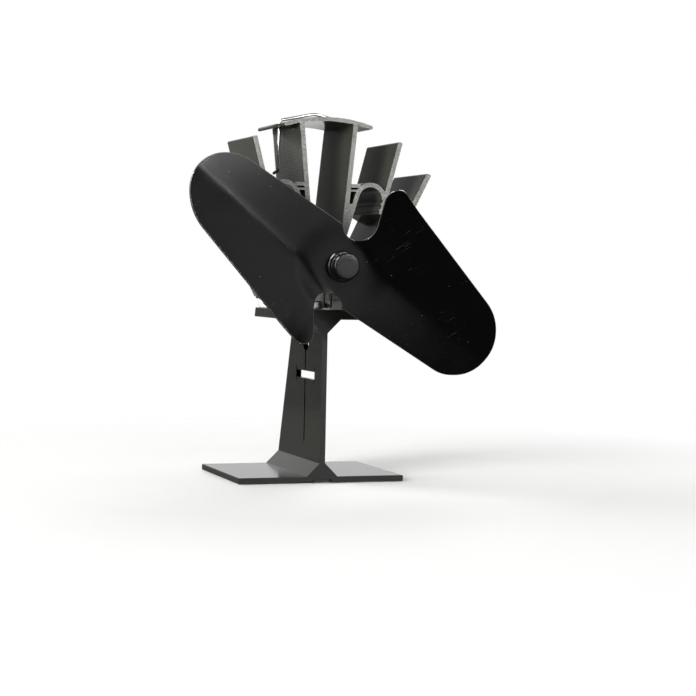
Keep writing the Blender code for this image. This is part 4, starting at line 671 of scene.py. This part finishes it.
@dataclass
class SubAssembly:
    """What every sub-assembly does: makes its pieces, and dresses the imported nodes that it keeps.

    The front is the y of both extrusions' front ends, and the axis's height is the rotor's.
    """

    front: float
    axis_height: float
    weld_gap: float = 0.002 * MM
    flat_angle: float = 0.5
    sharp_angle: float = 40.0

    def build(self) -> None:
        """Makes and dresses this sub-assembly's pieces."""
        raise NotImplementedError

    def dress(self, node: str, finish: Finish, edge: float = 0.0) -> None:
        """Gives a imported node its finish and, where asked, breaks its sharp edges.

        Triangles that turn less than flat_angle are made one face first, so only real edges are broken:
        those that turn by more than sharp_angle.

        Args:
            node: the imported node.
            finish: its finish.
            edge: width of the broken edge in metres, or nothing.
        """
        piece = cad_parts[node]
        if edge:
            weld = piece.modifiers.new("weld", "WELD")
            weld.merge_threshold = self.weld_gap
            flat = piece.modifiers.new("flat", "DECIMATE")
            flat.decimate_type, flat.angle_limit = "DISSOLVE", math.radians(self.flat_angle)
            rounded = piece.modifiers.new("edge", "BEVEL")
            rounded.width, rounded.segments = edge, 2
            rounded.limit_method, rounded.angle_limit = "ANGLE", math.radians(self.sharp_angle)
        piece.data.materials.clear()
        piece.data.materials.append(finish.material())
        LOG.info("dressed %s as %s", node, finish.name)

    def add_piece(self, name: str, points: Array, faces: Sequence, body: Body, finishes: Sequence[Finish],
                  node: str, slot: str) -> bpy.types.Object:
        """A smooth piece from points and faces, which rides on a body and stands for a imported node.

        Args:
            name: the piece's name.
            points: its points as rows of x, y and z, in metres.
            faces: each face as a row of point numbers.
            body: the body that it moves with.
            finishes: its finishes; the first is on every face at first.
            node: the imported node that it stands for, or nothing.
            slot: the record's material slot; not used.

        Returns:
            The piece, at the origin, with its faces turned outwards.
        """
        mesh = bpy.data.meshes.new(name)
        mesh.from_pydata(points.tolist(), [], faces)
        work = bmesh.new()
        work.from_mesh(mesh)
        bmesh.ops.recalc_face_normals(work, faces=work.faces)
        work.to_mesh(mesh)
        work.free()
        mesh.shade_smooth()
        piece = bpy.data.objects.new(name, mesh)
        bpy.context.scene.collection.objects.link(piece)
        for finish in finishes:
            mesh.materials.append(finish.material())
        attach(piece, body.value)
        if node:
            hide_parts(node)
        LOG.info("made %s%s", name, f" in place of {node}" if node else "")
        return piece

    def add_tube(self, name: str, path: Array, radius: float, sides: int, body: Body, finish: Finish,
                 node: str, slot: str) -> None:
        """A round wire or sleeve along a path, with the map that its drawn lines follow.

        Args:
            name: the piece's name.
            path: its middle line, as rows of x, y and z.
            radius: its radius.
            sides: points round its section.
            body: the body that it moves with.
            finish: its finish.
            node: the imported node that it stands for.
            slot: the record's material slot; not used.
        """
        points, faces, where = swept_tube(path, radius, sides)
        mesh = self.add_piece(name, points, faces, body, [finish], node, slot).data
        corners = np.empty(len(mesh.loops), dtype=np.int32)
        mesh.loops.foreach_get("vertex_index", corners)
        mesh.uv_layers.new(name="along").data.foreach_set("uv", where[corners].ravel())


@dataclass
class Stand(SubAssembly):
    """The extruded stand with its foot, web and table, and the bimetal strip riveted under its foot."""

    edge: float = 0.3 * MM

    def build(self) -> None:
        """Dresses the extrusion, the strip and the rivet."""
        self.dress("stand", STAND_FINISH, self.edge)
        self.dress("bimetal_strip", BIMETAL_FINISH)
        self.dress("bimetal_rivet", ZINC_FINISH)


@dataclass
class Generator(SubAssembly):
    """The thermoelectric module between two pads, its gasket, and its two leads up to the motor."""

    module_size: float = 40.0 * MM
    core_inset: float = 0.7 * MM
    fit_gap: float = 0.3 * MM
    lead_radius: float = 0.75 * MM
    lead_sides: int = 16
    lead_spacing: float = 4.8 * MM
    lead_reach: float = 3.3 * MM
    lead_dip: float = 1.6 * MM
    lead_bend: float = 2.4 * MM
    lead_drop: float = 15.025 * MM
    terminal_depth: float = 25.2 * MM
    terminal_spacing: float = 13.0 * MM
    terminal_drop: float = 0.55 * MM
    gasket_reach: float = 27.4 * MM
    gasket_bulge: float = 0.4 * MM
    gasket_spacing: float = 2.0 * MM
    gasket_pitch: float = 3.0 * MM
    gasket_levels: int = 7
    bite_radius: float = 6.2 * MM
    bite_points: int = 13
    lead_slot: float = 4.0 * MM
    pad_gap: float = 0.05 * MM

    def lead_path(self, side: int) -> Array:
        """A lead's route: out of the module's front, up before the heat sink, back under the motor.

        Args:
            side: 1 to the right and -1 to the left.

        Returns:
            The middle line, as rows of x, y and z.
        """
        low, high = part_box("generator_core")
        middle, bend = (low.z + high.z) / 2, self.lead_bend
        start = MIDDLE_DEPTH - self.module_size / 2 + self.core_inset - self.fit_gap
        running = self.axis_height - self.lead_drop
        outline = arc_corners([
            (start, middle, 0), (0, middle, bend), (-self.lead_reach, middle - self.lead_dip, bend / 2),
            (-self.lead_reach, running, bend), (self.terminal_depth, running, bend),
            (self.terminal_depth, self.axis_height - self.terminal_drop, 0)], ARC_STEP, closed=False)
        across = np.full(len(outline), side * self.lead_spacing / 2)
        across[-1] = side * self.terminal_spacing / 2
        return np.column_stack((across, outline + (self.front, 0)))

    def gasket_outline(self) -> Array:
        """The gasket from above: a square ring round the module, open in front where the leads pass.

        It has a half round bite at each clamp bush. Its right half is written down, and the left half is
        its mirror image.

        Returns:
            The outline, as rows of x and y.
        """
        turn = np.radians(np.linspace(-90, 90, self.bite_points))
        reach, inner = self.gasket_reach, self.module_size / 2 + self.fit_gap
        bite = np.column_stack((reach - self.bite_radius * np.cos(turn), self.bite_radius * np.sin(turn)))
        outer = np.vstack(((self.lead_slot, -reach), (reach, -reach), (reach, bite[0, 1]), bite,
                           (reach, bite[-1, 1]), (reach, reach)))
        hole = np.array(((self.lead_slot, -inner), (inner, -inner), (inner, inner)))
        corners = np.vstack((outer, (outer * (-1, 1))[::-1], hole * (-1, 1), hole[::-1]))
        return evenly_spaced(corners, self.gasket_spacing) + (0, self.front + MIDDLE_DEPTH)

    def gasket(self) -> None:
        """The gasket: its outline carried from the stand's table up to the sink, bulging half way up.

        The bulge is the greatest bulge times one less the square of the height from the middle.
        """
        outline = self.gasket_outline()
        outward = outward_directions(outline)
        low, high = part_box("stand")[1].z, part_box("heat_sink")[0].z
        flat, triangles = trimmed_grid([outline], self.gasket_pitch)
        levels = np.linspace(-1, 1, self.gasket_levels)
        heights = (low + high) / 2 + levels * ((high - low) / 2 - self.pad_gap)
        points = [np.column_stack((flat, np.full(len(flat), heights[end]))) for end in (0, -1)]
        faces = triangles.tolist() + (triangles[:, ::-1] + len(flat)).tolist()
        count, start = len(outline), 2 * len(flat)
        rings = [np.arange(count)]
        for level, height in zip(levels[1:-1], heights[1:-1]):
            ring = outline + outward * self.gasket_bulge * (1 - level * level)
            points.append(np.column_stack((ring, np.full(count, height))))
            rings.append(start + np.arange(count))
            start += count
        rings.append(len(flat) + np.arange(count))
        self.add_piece("insulating_gasket", np.vstack(points), faces + joined_rings(rings), Body.FRAME,
                       [GASKET_FINISH], "", "fibre")

    def build(self) -> None:
        """Dresses the pads and the module, and makes the gasket and the two leads."""
        self.gasket()
        self.dress("lower_thermal_pad", GRAPHITE_FINISH)
        self.dress("upper_thermal_pad", GRAPHITE_FINISH)
        self.dress("generator_hot_plate", CERAMIC_FINISH)
        self.dress("generator_cold_plate", CERAMIC_FINISH)
        self.dress("generator_core", SEAL_FINISH)
        for side, sign, finish, slot in (
            (1, "positive", BROWN_LEAD_FINISH, "brown_insulation"),
            (-1, "negative", BLACK_LEAD_FINISH, "black_insulation"),
        ):
            self.add_tube(f"{sign}_lead_sleeve", self.lead_path(side), self.lead_radius, self.lead_sides,
                          Body.FRAME, finish, f"lead_{sign}", slot)


@dataclass
class Clamp(SubAssembly):
    """One of the two screws that draw the heat sink down on the module, with its washer and bush."""

    side: str = "left"

    def build(self) -> None:
        """Dresses the screw, the spring washer and the insulating bush."""
        self.dress(f"clamp_screw_{self.side}", ZINC_FINISH)
        self.dress(f"spring_washer_{self.side}", ZINC_FINISH)
        self.dress(f"insulating_bush_{self.side}", FIBRE_FINISH)


@dataclass
class HeatSink(SubAssembly):
    """The extruded heat sink with its channel, fins, arches, links and roof."""

    edge: float = 0.4 * MM

    def build(self) -> None:
        """Dresses the extrusion, with its burred edges broken."""
        self.dress("heat_sink", SINK_FINISH, self.edge)


@dataclass
class CarryHandle(SubAssembly):
    """The bright wire bail that is pulled up through the roof."""

    wire_radius: float = 1.0 * MM
    wire_sides: int = 24
    leg_reach: float = 24.4 * MM
    leg_length: float = 32.2 * MM
    peak_rise: float = 4.0 * MM
    peak_radius: float = 14.0 * MM
    bend_radius: float = 3.0 * MM
    hook_length: float = 9.6 * MM
    hook_drop: float = 1.6 * MM
    hook_bend: float = 1.6 * MM

    def path(self) -> Array:
        """The bail's middle line: hook, right leg, the low peaked bar, left leg, hook.

        Returns:
            The line, as rows of x, y and z.
        """
        middle, half = self.front + MIDDLE_DEPTH, self.leg_reach
        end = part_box("carry_handle")[0].z + self.wire_radius + self.hook_drop
        shoulder = end + self.leg_length
        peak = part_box("heat_sink")[1].z + self.peak_rise
        below = shoulder - 2 * self.bend_radius
        hook = arc_corners([(middle + self.hook_length, end - self.hook_drop, 0),
                            (middle, end, self.hook_bend), (middle, below, 0)], ARC_STEP, closed=False)
        bar = arc_corners([(half, below, 0), (half, shoulder, self.bend_radius), (0, peak, self.peak_radius),
                           (-half, shoulder, self.bend_radius), (-half, below, 0)], FINE_ARC_STEP,
                          closed=False)
        right = np.column_stack((np.full(len(hook), half), hook))
        top = np.column_stack((bar[:, 0], np.full(len(bar), middle), bar[:, 1]))
        return np.vstack((right[:-1], top, right[-2::-1] * (-1, 1, 1)))

    def build(self) -> None:
        """The wire: a round section carried along the bail's bent path."""
        self.add_tube("bail_wire", self.path(), self.wire_radius, self.wire_sides, Body.HANDLE, WIRE_FINISH,
                      "carry_handle", "steel_wire")


@dataclass
class Motor(SubAssembly):
    """The small brushed motor in the sink's channel: case, magnets, armature, brushes and sleeve."""

    def build(self) -> None:
        """Dresses the fixed and the turning pieces of the motor."""
        for node, finish in (
            ("motor_can", CAN_FINISH), ("motor_end_cap", NYLON_FINISH), ("motor_sleeve", RUBBER_FINISH),
            ("front_bearing", BRONZE_FINISH), ("rear_bearing", BRONZE_FINISH),
            ("magnet_upper", MAGNET_FINISH), ("magnet_lower", MAGNET_FINISH),
            ("brush_left", BRASS_FINISH), ("brush_right", BRASS_FINISH),
            ("motor_terminal_left", BRASS_FINISH), ("motor_terminal_right", BRASS_FINISH),
            ("armature_core", LAMINATION_FINISH), ("armature_winding_1", COPPER_FINISH),
            ("armature_winding_2", COPPER_FINISH), ("armature_winding_3", COPPER_FINISH),
            ("commutator", COMMUTATOR_FINISH), ("motor_shaft", SHAFT_FINISH),
        ):
            self.dress(node, finish)


@dataclass
class Blade(SubAssembly):
    """The stamped and folded sheet with two lobes, alike when turned half round."""

    reach: float = 30.4 * MM
    thickness: float = 1.2 * MM
    rim_radius: float = 0.35 * MM
    tip_radius: float = 25.0 * MM
    tip_side: float = 102.4 * MM
    tip_top: float = 68.2 * MM
    shoulder_side: float = 68.5 * MM
    shoulder_radius: float = 23.0 * MM
    heel_top: float = 30.2 * MM
    heel_radius: float = 32.0 * MM
    ear_side: float = 25.1 * MM
    ear_drop: float = 58.6 * MM
    ear_radius: float = 7.7 * MM
    notch_outer: float = 19.5 * MM
    notch_inner: float = 0.3 * MM
    notch_depth: float = 16.8 * MM
    notch_radius: float = 9.6 * MM
    lip_drop: float = 26.6 * MM
    lip_radius: float = 1.4 * MM
    hole_radius: float = 3.3 * MM
    flat_radius: float = 12.0 * MM
    blend_radius: float = 34.0 * MM
    crease_angle: float = 141.2
    crease_offset: float = 10.4 * MM
    crease_bend: float = 2.5 * MM
    lobe_lean: float = 0.039
    fold_slope: float = 0.334
    fold_inset: float = 2.9 * MM
    fold_bend: float = 4.0 * MM
    ear_curl: float = 227.0 * MM
    ear_curl_start: float = 15.0 * MM
    ear_curl_end: float = -15.0 * MM
    strip_tilt: float = 0.115
    tilt_reach: float = 110.0 * MM
    tilt_power: float = 1.5
    slope_step: float = 0.05 * MM
    grid_pitch: float = 1.7 * MM
    hole_points: int = 40
    rim_angles: tuple[float, ...] = (22.0, 45.0, 68.0, 112.0, 135.0, 158.0)

    def outline(self) -> Array:
        """The stamped outline about the axis: one lobe's rounded corners, and the same turned by half.

        Returns:
            The outline, as rows of places across and up.
        """
        lobe = [
            (-self.notch_inner, self.lip_drop, self.lip_radius),
            (-self.shoulder_side, self.tip_top, self.shoulder_radius),
            (-self.tip_side, self.tip_top, self.tip_radius),
            (-self.tip_side, self.heel_top, self.heel_radius),
            (-self.ear_side, -self.ear_drop, self.ear_radius),
            (-self.notch_outer, -self.notch_depth, self.notch_radius),
            (self.notch_inner, -self.notch_depth, self.notch_radius),
        ]
        corners = lobe + [(-across, -up, radius) for across, up, radius in lobe]
        return evenly_spaced(arc_corners(corners, FINE_ARC_STEP), self.grid_pitch)

    def rise(self, across: Array, up: Array) -> Array:
        """How far the sheet stands forward of its flat middle.

        Each lobe leans forward evenly with its distance out. It has a straight crease, and is folded
        forward at a fixed slope behind a line just behind that crease. The ear at its root also curls,
        with the square of its distance from the fold. Ahead of the crease the sheet falls back, more so
        towards the tip. Fold and crease are eased with a square root of a sum of squares. All of this
        starts at nothing round the flat middle.

        Args:
            across: places across the axis, to the right.
            up: places above the axis.

        Returns:
            The rise at each place.
        """
        own = across * self.lip_drop - up * (self.notch_outer - self.notch_inner) / 2 < 0
        across, up = np.where(own, across, -across), np.where(own, up, -up)
        lobe = math.radians(self.crease_angle)
        along = across * math.cos(lobe) + up * math.sin(lobe)
        outward = np.maximum(along, 0)
        ahead = across * math.sin(lobe) - up * math.cos(lobe) + self.crease_offset
        strip = (np.hypot(ahead, self.crease_bend) + ahead) / 2
        behind = ahead + self.fold_inset
        folded = (np.hypot(behind, self.fold_bend) - behind) / 2
        ear = np.clip((self.ear_curl_start - along) / (self.ear_curl_start - self.ear_curl_end), 0, 1)
        curl = ear * ear * (3 - 2 * ear) * folded * folded / (2 * self.ear_curl)
        tilt = self.strip_tilt * (outward / self.tilt_reach) ** self.tilt_power
        rise = self.lobe_lean * outward + self.fold_slope * folded + curl - tilt * strip
        away = np.hypot(across, up) - self.flat_radius
        share = np.clip(away / (self.blend_radius - self.flat_radius), 0, 1)
        return rise * share * share * (3 - 2 * share)

    def sheet(self, flat: Array, height: float) -> tuple[Array, Array]:
        """Points at a height off the sheet's middle surface, and the surface's normals there.

        The normal comes from the slopes of the rise, each taken over two small steps.

        Args:
            flat: rows of x and z about the axis.
            height: distance off the middle surface, forward positive.

        Returns:
            The points and the forward normals.
        """
        across, up, small = flat[:, 0], flat[:, 1], self.slope_step
        slope_across = (self.rise(across + small, up) - self.rise(across - small, up)) / (2 * small)
        slope_up = (self.rise(across, up + small) - self.rise(across, up - small)) / (2 * small)
        normals = np.column_stack((-slope_across, -np.ones(len(flat)), -slope_up))
        normals /= np.linalg.norm(normals, axis=1, keepdims=True)
        forward = self.reach - self.thickness / 2 + self.rise(across, up)
        points = np.column_stack((across, self.front - forward, up + self.axis_height))
        return points + normals * height, normals

    def build(self) -> None:
        """Both faces of the folded sheet over one trimmed grid, joined by a rounded stamped rim.

        Each face lies half the thickness off the middle surface. The rim goes from one to the other
        round two quarter circles carried along the outline and along the hole.
        """
        outline = self.outline()
        turn = np.linspace(0, 2 * math.pi, self.hole_points, endpoint=False)
        hole = self.hole_radius * np.column_stack((np.cos(turn), np.sin(turn)))
        loops, outward = [outline, hole], [outward_directions(outline), outward_directions(hole, True)]
        half, corner = self.thickness / 2, self.rim_radius
        flat, triangles = trimmed_grid([loop - side * corner for loop, side in zip(loops, outward)],
                                       self.grid_pitch)
        front, front_normals = self.sheet(flat, half)
        back, back_normals = self.sheet(flat, -half)
        points, normals = [front, back], [front_normals, -back_normals]
        faces = triangles.tolist() + (triangles[:, ::-1] + len(flat)).tolist()
        face_count = len(faces)
        start, first = 2 * len(flat), 0
        for loop, side in zip(loops, outward):
            index = np.arange(len(loop))
            rings = [first + index]
            lean = np.column_stack((side[:, 0], np.zeros(len(loop)), side[:, 1]))
            for angle in np.radians(self.rim_angles):
                level = math.copysign(half - corner, math.cos(angle)) + corner * math.cos(angle)
                ring, upright = self.sheet(loop + side * corner * (math.sin(angle) - 1), level)
                points.append(ring)
                normals.append(lean * math.sin(angle) + upright * math.cos(angle))
                rings.append(start + index)
                start += len(loop)
            rings.append(len(flat) + first + index)
            first += len(loop)
            faces += joined_rings(rings)
        every = np.vstack(normals)
        every /= np.linalg.norm(every, axis=1, keepdims=True)
        piece = self.add_piece("blade_sheet", np.vstack(points), faces, Body.ROTOR,
                               [BLADE_FINISH, BLADE_EDGE_FINISH], "fan_blade", "blade_black")
        sides = np.zeros(len(faces), dtype=np.int32)
        sides[face_count:] = 1
        piece.data.polygons.foreach_set("material_index", sides)
        piece.data.normals_split_custom_set_from_vertices(every.tolist())


@dataclass
class Hub(SubAssembly):
    """The knob that clamps the blade from the front, and the hub behind it."""

    knob_back: float = 30.5 * MM
    knob_length: float = 9.2 * MM
    knob_radius: float = 8.4 * MM
    knob_waist: float = 7.7 * MM
    rim_length: float = 2.6 * MM
    flange_radius: float = 10.0 * MM
    flange_thickness: float = 1.6 * MM
    edge_radius: float = 1.0 * MM
    flange_edge: float = 1.3 * MM
    root_radius: float = 0.3 * MM
    rim_break: float = 0.15 * MM
    back_break: float = 0.1 * MM
    bend_points: int = 7
    face_rings: tuple[float, ...] = (1.2 * MM, 5.04 * MM)
    steps: int = 128

    def knob(self) -> None:
        """The knob: a profile of flange, waist and rim turned about the axis.

        Outer edges are quarter circles, and the waist meets rim and flange in small hollow ones.
        """
        root, edge, lip = self.root_radius, self.edge_radius, self.flange_edge
        nose, break_edge = self.knob_back + self.knob_length, self.rim_break
        rim_back, flange_front = nose - self.rim_length, self.knob_back + self.flange_thickness
        bend = np.radians(np.linspace(0, 90, self.bend_points))
        rise, fall = np.sin(bend), np.cos(bend)
        profile = np.vstack((
            (0.0, nose), *((radius, nose) for radius in self.face_rings),
            np.column_stack((self.knob_radius - edge + edge * rise, nose - edge + edge * fall)),
            np.column_stack((self.knob_radius - break_edge * (1 - fall), rim_back + break_edge * (1 - rise))),
            np.column_stack((self.knob_waist + root * (1 - rise), rim_back - root * (1 - fall))),
            np.column_stack((self.knob_waist + root * (1 - fall), flange_front + root * (1 - rise))),
            np.column_stack((self.flange_radius - lip + lip * rise, flange_front - lip + lip * fall)),
            (self.flange_radius, self.knob_back + self.back_break),
            (self.flange_radius - self.back_break, self.knob_back), (0.0, self.knob_back)))
        profile[:, 1] = self.front - profile[:, 1]
        points, faces = turned_surface(profile, self.steps, self.axis_height)
        self.add_piece("clamping_knob", points, faces, Body.ROTOR, [KNOB_FINISH], "hub_knob", "knob_plastic")

    def build(self) -> None:
        """Makes the knob and dresses the hub."""
        self.dress("blade_hub", KNOB_FINISH)
        self.knob()


@dataclass(frozen=True)
class Lamp:
    """A square soft lamp that looks at the fan.

    The side is its direction from straight in front, in degrees to the right, and the height is its
    direction above the level. Distance and size are in metres, and the power is in watts. A lamp that is
    gloss_only is a card: it shows in gloss and adds no light of its own.
    """

    name: str
    side: float
    height: float
    distance: float
    size: float
    power: float
    gloss_only: bool = False

    def place(self, target: Vector) -> None:
        """Adds the lamp to the scene.

        Args:
            target: the place that it looks at.
        """
        data = bpy.data.lights.new(self.name, "AREA")
        data.shape, data.size, data.energy = "SQUARE", self.size, self.power
        lamp = bpy.data.objects.new(self.name, data)
        bpy.context.scene.collection.objects.link(lamp)
        lamp.visible_camera = False
        lamp.visible_diffuse = not self.gloss_only
        side, height = math.radians(self.side), math.radians(self.height)
        level = math.cos(height)
        toward = Vector((math.sin(side) * level, -math.cos(side) * level, math.sin(height)))
        lamp.location = toward * self.distance + target
        lamp.rotation_euler = (-toward).to_track_quat("-Z", "Y").to_euler()


LAMPS = (
    # The light of the room: a large window to the left, and weak light from both sides and behind.
    Lamp("left_window", -54.0, 12.0, 1.9, 0.8, 60.0),
    Lamp("left_softbox", -92.0, 20.0, 1.8, 1.0, 6.0),
    Lamp("right_softbox", 98.0, 24.0, 1.8, 1.0, 9.0),
    Lamp("back_left_softbox", -130.0, 25.0, 1.8, 1.0, 18.0),
    Lamp("back_right_softbox", 140.0, 33.0, 1.8, 0.8, 12.0),
    # The sheen on the blade: bright at one tip, fading along the lobe, and faint near the hub.
    Lamp("tip_card", 24.0, 18.0, 1.6, 0.1, 15.0, gloss_only=True),
    Lamp("lobe_card", 54.0, 25.0, 1.6, 0.7, 7.5, gloss_only=True),
    Lamp("front_card", 22.0, 4.0, 1.6, 0.45, 3.2, gloss_only=True),
    # The bright upper left edge of the knob.
    Lamp("high_card", -62.0, 48.0, 1.6, 0.35, 130.0, gloss_only=True),
)


@dataclass
class Studio:
    """The photograph's camera, a pale floor, a white surround, soft lamps and cards for the gloss."""

    front: float
    yaw: float = math.radians(-20.07)
    pitch: float = math.radians(-2.33)
    roll: float = math.radians(1.19)
    focal: float = 1795.71
    distance: float = 1164.7 * MM
    aim: tuple[float, float, float] = (15.97 * MM, 0.0, 87.45 * MM)
    clip_start: float = 0.05
    clip_end: float = 50.0
    lamp_target: tuple[float, float, float] = (0.0, 0.0, 140.0 * MM)
    floor_radius: float = 0.6
    floor_inner_radius: float = 0.4
    floor_drop: float = 0.2 * MM
    floor_points: int = 96
    floor_colour: str = "#e8e8e6"
    bounce_colour: str = "#605f5d"
    floor_roughness: float = 0.7
    floor_specular: float = 0.2
    fade_start: float = 0.2
    fade_end: float = 0.48
    backdrop: tuple[float, float, float] = (0.34, 0.94, 0.0)
    backdrop_start: float = 0.79
    backdrop_full: float = 0.87
    backdrop_bottom: tuple[float, float] = (-0.3, -0.15)
    sky_height: tuple[float, float] = (0.3, 0.8)
    surround_strength: float = 0.05
    sky_strength: float = 0.18

    def camera(self) -> None:
        """The camera: its place and turn were solved from the straight edges in the photograph."""
        yaw, pitch, roll = self.yaw, self.pitch, self.roll
        ahead = Vector((-math.sin(yaw) * math.cos(pitch), math.cos(yaw) * math.cos(pitch), math.sin(pitch)))
        level = Vector((math.cos(yaw), math.sin(yaw), 0))
        upright = level.cross(ahead)
        right = level * math.cos(roll) + upright * math.sin(roll)
        up = upright * math.cos(roll) - level * math.sin(roll)
        place = Vector(self.aim) - ahead * self.distance + Vector((0, self.front, 0))
        data = bpy.data.cameras.new("photo_camera")
        data.sensor_width = SENSOR_WIDTH
        data.lens = self.focal / PHOTO_SIDE * SENSOR_WIDTH
        data.clip_start, data.clip_end = self.clip_start, self.clip_end
        camera = bpy.data.objects.new("photo_camera", data)
        bpy.context.scene.collection.objects.link(camera)
        camera.matrix_world = Matrix.Translation(place) @ Matrix((right, up, -ahead)).transposed().to_4x4()
        bpy.context.scene.camera = camera

    def floor(self) -> None:
        """A pale round floor under the foot, which fades into the white surround for the camera."""
        count = self.floor_points
        turn = np.linspace(0, 2 * math.pi, count, endpoint=False)
        radii = np.array((self.floor_radius, self.floor_inner_radius))[:, None]
        points = np.stack((radii * np.cos(turn), radii * np.sin(turn),
                           np.full((2, count), -self.floor_drop)), axis=-1).reshape(-1, 3)
        rings = np.arange(2 * count).reshape(2, count)
        mesh = bpy.data.meshes.new("floor")
        mesh.from_pydata(points.tolist(), [], joined_rings(rings) + [rings[1].tolist()])
        mesh.materials.append(self.ground())
        ground = bpy.data.objects.new("floor", mesh)
        bpy.context.scene.collection.objects.link(ground)

    def ground(self) -> bpy.types.Material:
        """Plain pale floor that turns into the surround's white further out, and throws little light up.

        Returns:
            The floor's material. The camera sees the floor's colour, and all other rays the darker one.
        """
        material = bpy.data.materials.new("pale_floor")
        material.use_nodes = True
        tree = material.node_tree
        shader = tree.nodes["Principled BSDF"]
        shader.inputs["Roughness"].default_value = self.floor_roughness
        shader.inputs["Specular IOR Level"].default_value = self.floor_specular
        seen = add_node(tree, "ShaderNodeLightPath", {})
        tone = add_node(tree, "ShaderNodeMix", {
            0: seen, 6: linear(self.bounce_colour), 7: linear(self.floor_colour)}, 2, data_type="RGBA")
        tree.links.new(tone, shader.inputs["Base Color"])
        place = add_node(tree, "ShaderNodeTexCoord", {}, 3)
        away = add_node(tree, "ShaderNodeVectorMath", {0: place}, 1, operation="LENGTH")
        far = add_node(tree, "ShaderNodeMapRange", {
            "Value": away, "From Min": self.fade_start, "From Max": self.fade_end})
        white = add_node(tree, "ShaderNodeEmission", {"Color": WHITE, "Strength": 1.0})
        share = add_node(tree, "ShaderNodeMath", {0: far, 1: seen}, operation="MULTIPLY")
        blend = add_node(tree, "ShaderNodeMixShader", {0: share, 1: shader.outputs[0], 2: white})
        tree.links.new(blend, tree.nodes["Material Output"].inputs["Surface"])
        return material

    def surround(self) -> None:
        """A studio surround: a white backdrop behind, a soft sky above, and dim walls elsewhere.

        The camera sees it all as white, at a strength of 1. For gloss the backdrop is just as white where
        a direction's dot product with its own is near one, and it fades out below the horizon. The sky
        grows from the surround's strength to its own with the direction's height.
        """
        world = bpy.data.worlds.new("studio")
        bpy.context.scene.world = world
        world.use_nodes = True
        tree = world.node_tree
        tree.nodes.clear()
        toward = add_node(tree, "ShaderNodeTexCoord", {}, 0)
        height = add_node(tree, "ShaderNodeSeparateXYZ", {0: toward}, 2)
        facing = add_node(tree, "ShaderNodeVectorMath", {0: toward, 1: self.backdrop}, 1,
                          operation="DOT_PRODUCT")
        near = add_node(tree, "ShaderNodeMapRange", {
            "Value": facing, "From Min": self.backdrop_start, "From Max": self.backdrop_full},
            interpolation_type="SMOOTHSTEP")
        low = add_node(tree, "ShaderNodeMapRange", {
            "Value": height, "From Min": self.backdrop_bottom[0], "From Max": self.backdrop_bottom[1]},
            interpolation_type="SMOOTHSTEP")
        backdrop = add_node(tree, "ShaderNodeMath", {0: near, 1: low}, operation="MULTIPLY")
        sky = add_node(tree, "ShaderNodeMapRange", {
            "Value": height, "From Min": self.sky_height[0], "From Max": self.sky_height[1],
            "To Min": self.surround_strength, "To Max": self.sky_strength},
            interpolation_type="SMOOTHSTEP")
        rays = add_node(tree, "ShaderNodeLightPath", {})
        shown = add_node(tree, "ShaderNodeMath", {0: rays, 1: rays.node.outputs["Is Transmission Ray"]},
                         operation="MAXIMUM")
        mirrored = add_node(tree, "ShaderNodeMath", {0: backdrop, 1: rays.node.outputs["Is Glossy Ray"]},
                            operation="MULTIPLY")
        plain = add_node(tree, "ShaderNodeMath", {0: shown, 1: mirrored}, operation="MAXIMUM")
        strength = add_node(tree, "ShaderNodeMath", {0: sky, 1: plain}, operation="MAXIMUM")
        glow = add_node(tree, "ShaderNodeBackground", {"Color": WHITE, "Strength": strength})
        tree.links.new(glow, tree.nodes.new("ShaderNodeOutputWorld").inputs["Surface"])

    def build(self) -> None:
        """Sets up the camera, floor, surround and lamps."""
        self.camera()
        self.floor()
        self.surround()
        for lamp in LAMPS:
            lamp.place(Vector(self.lamp_target))
        bpy.context.scene.view_settings.view_transform = "Standard"


def main() -> None:
    """Builds the studio and every sub-assembly in order."""
    logging.basicConfig(level=logging.INFO, format="%(name)s: %(message)s")
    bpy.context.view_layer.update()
    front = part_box("stand")[0].y
    can_low, can_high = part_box("motor_can")
    axis_height = (can_low.z + can_high.z) / 2
    Studio(front).build()
    for assembly in (
        Stand(front, axis_height), Generator(front, axis_height), Clamp(front, axis_height, "left"),
        Clamp(front, axis_height, "right"), HeatSink(front, axis_height), CarryHandle(front, axis_height),
        Motor(front, axis_height), Blade(front, axis_height), Hub(front, axis_height),
    ):
        assembly.build()


if __name__ == "__main__":
    main()
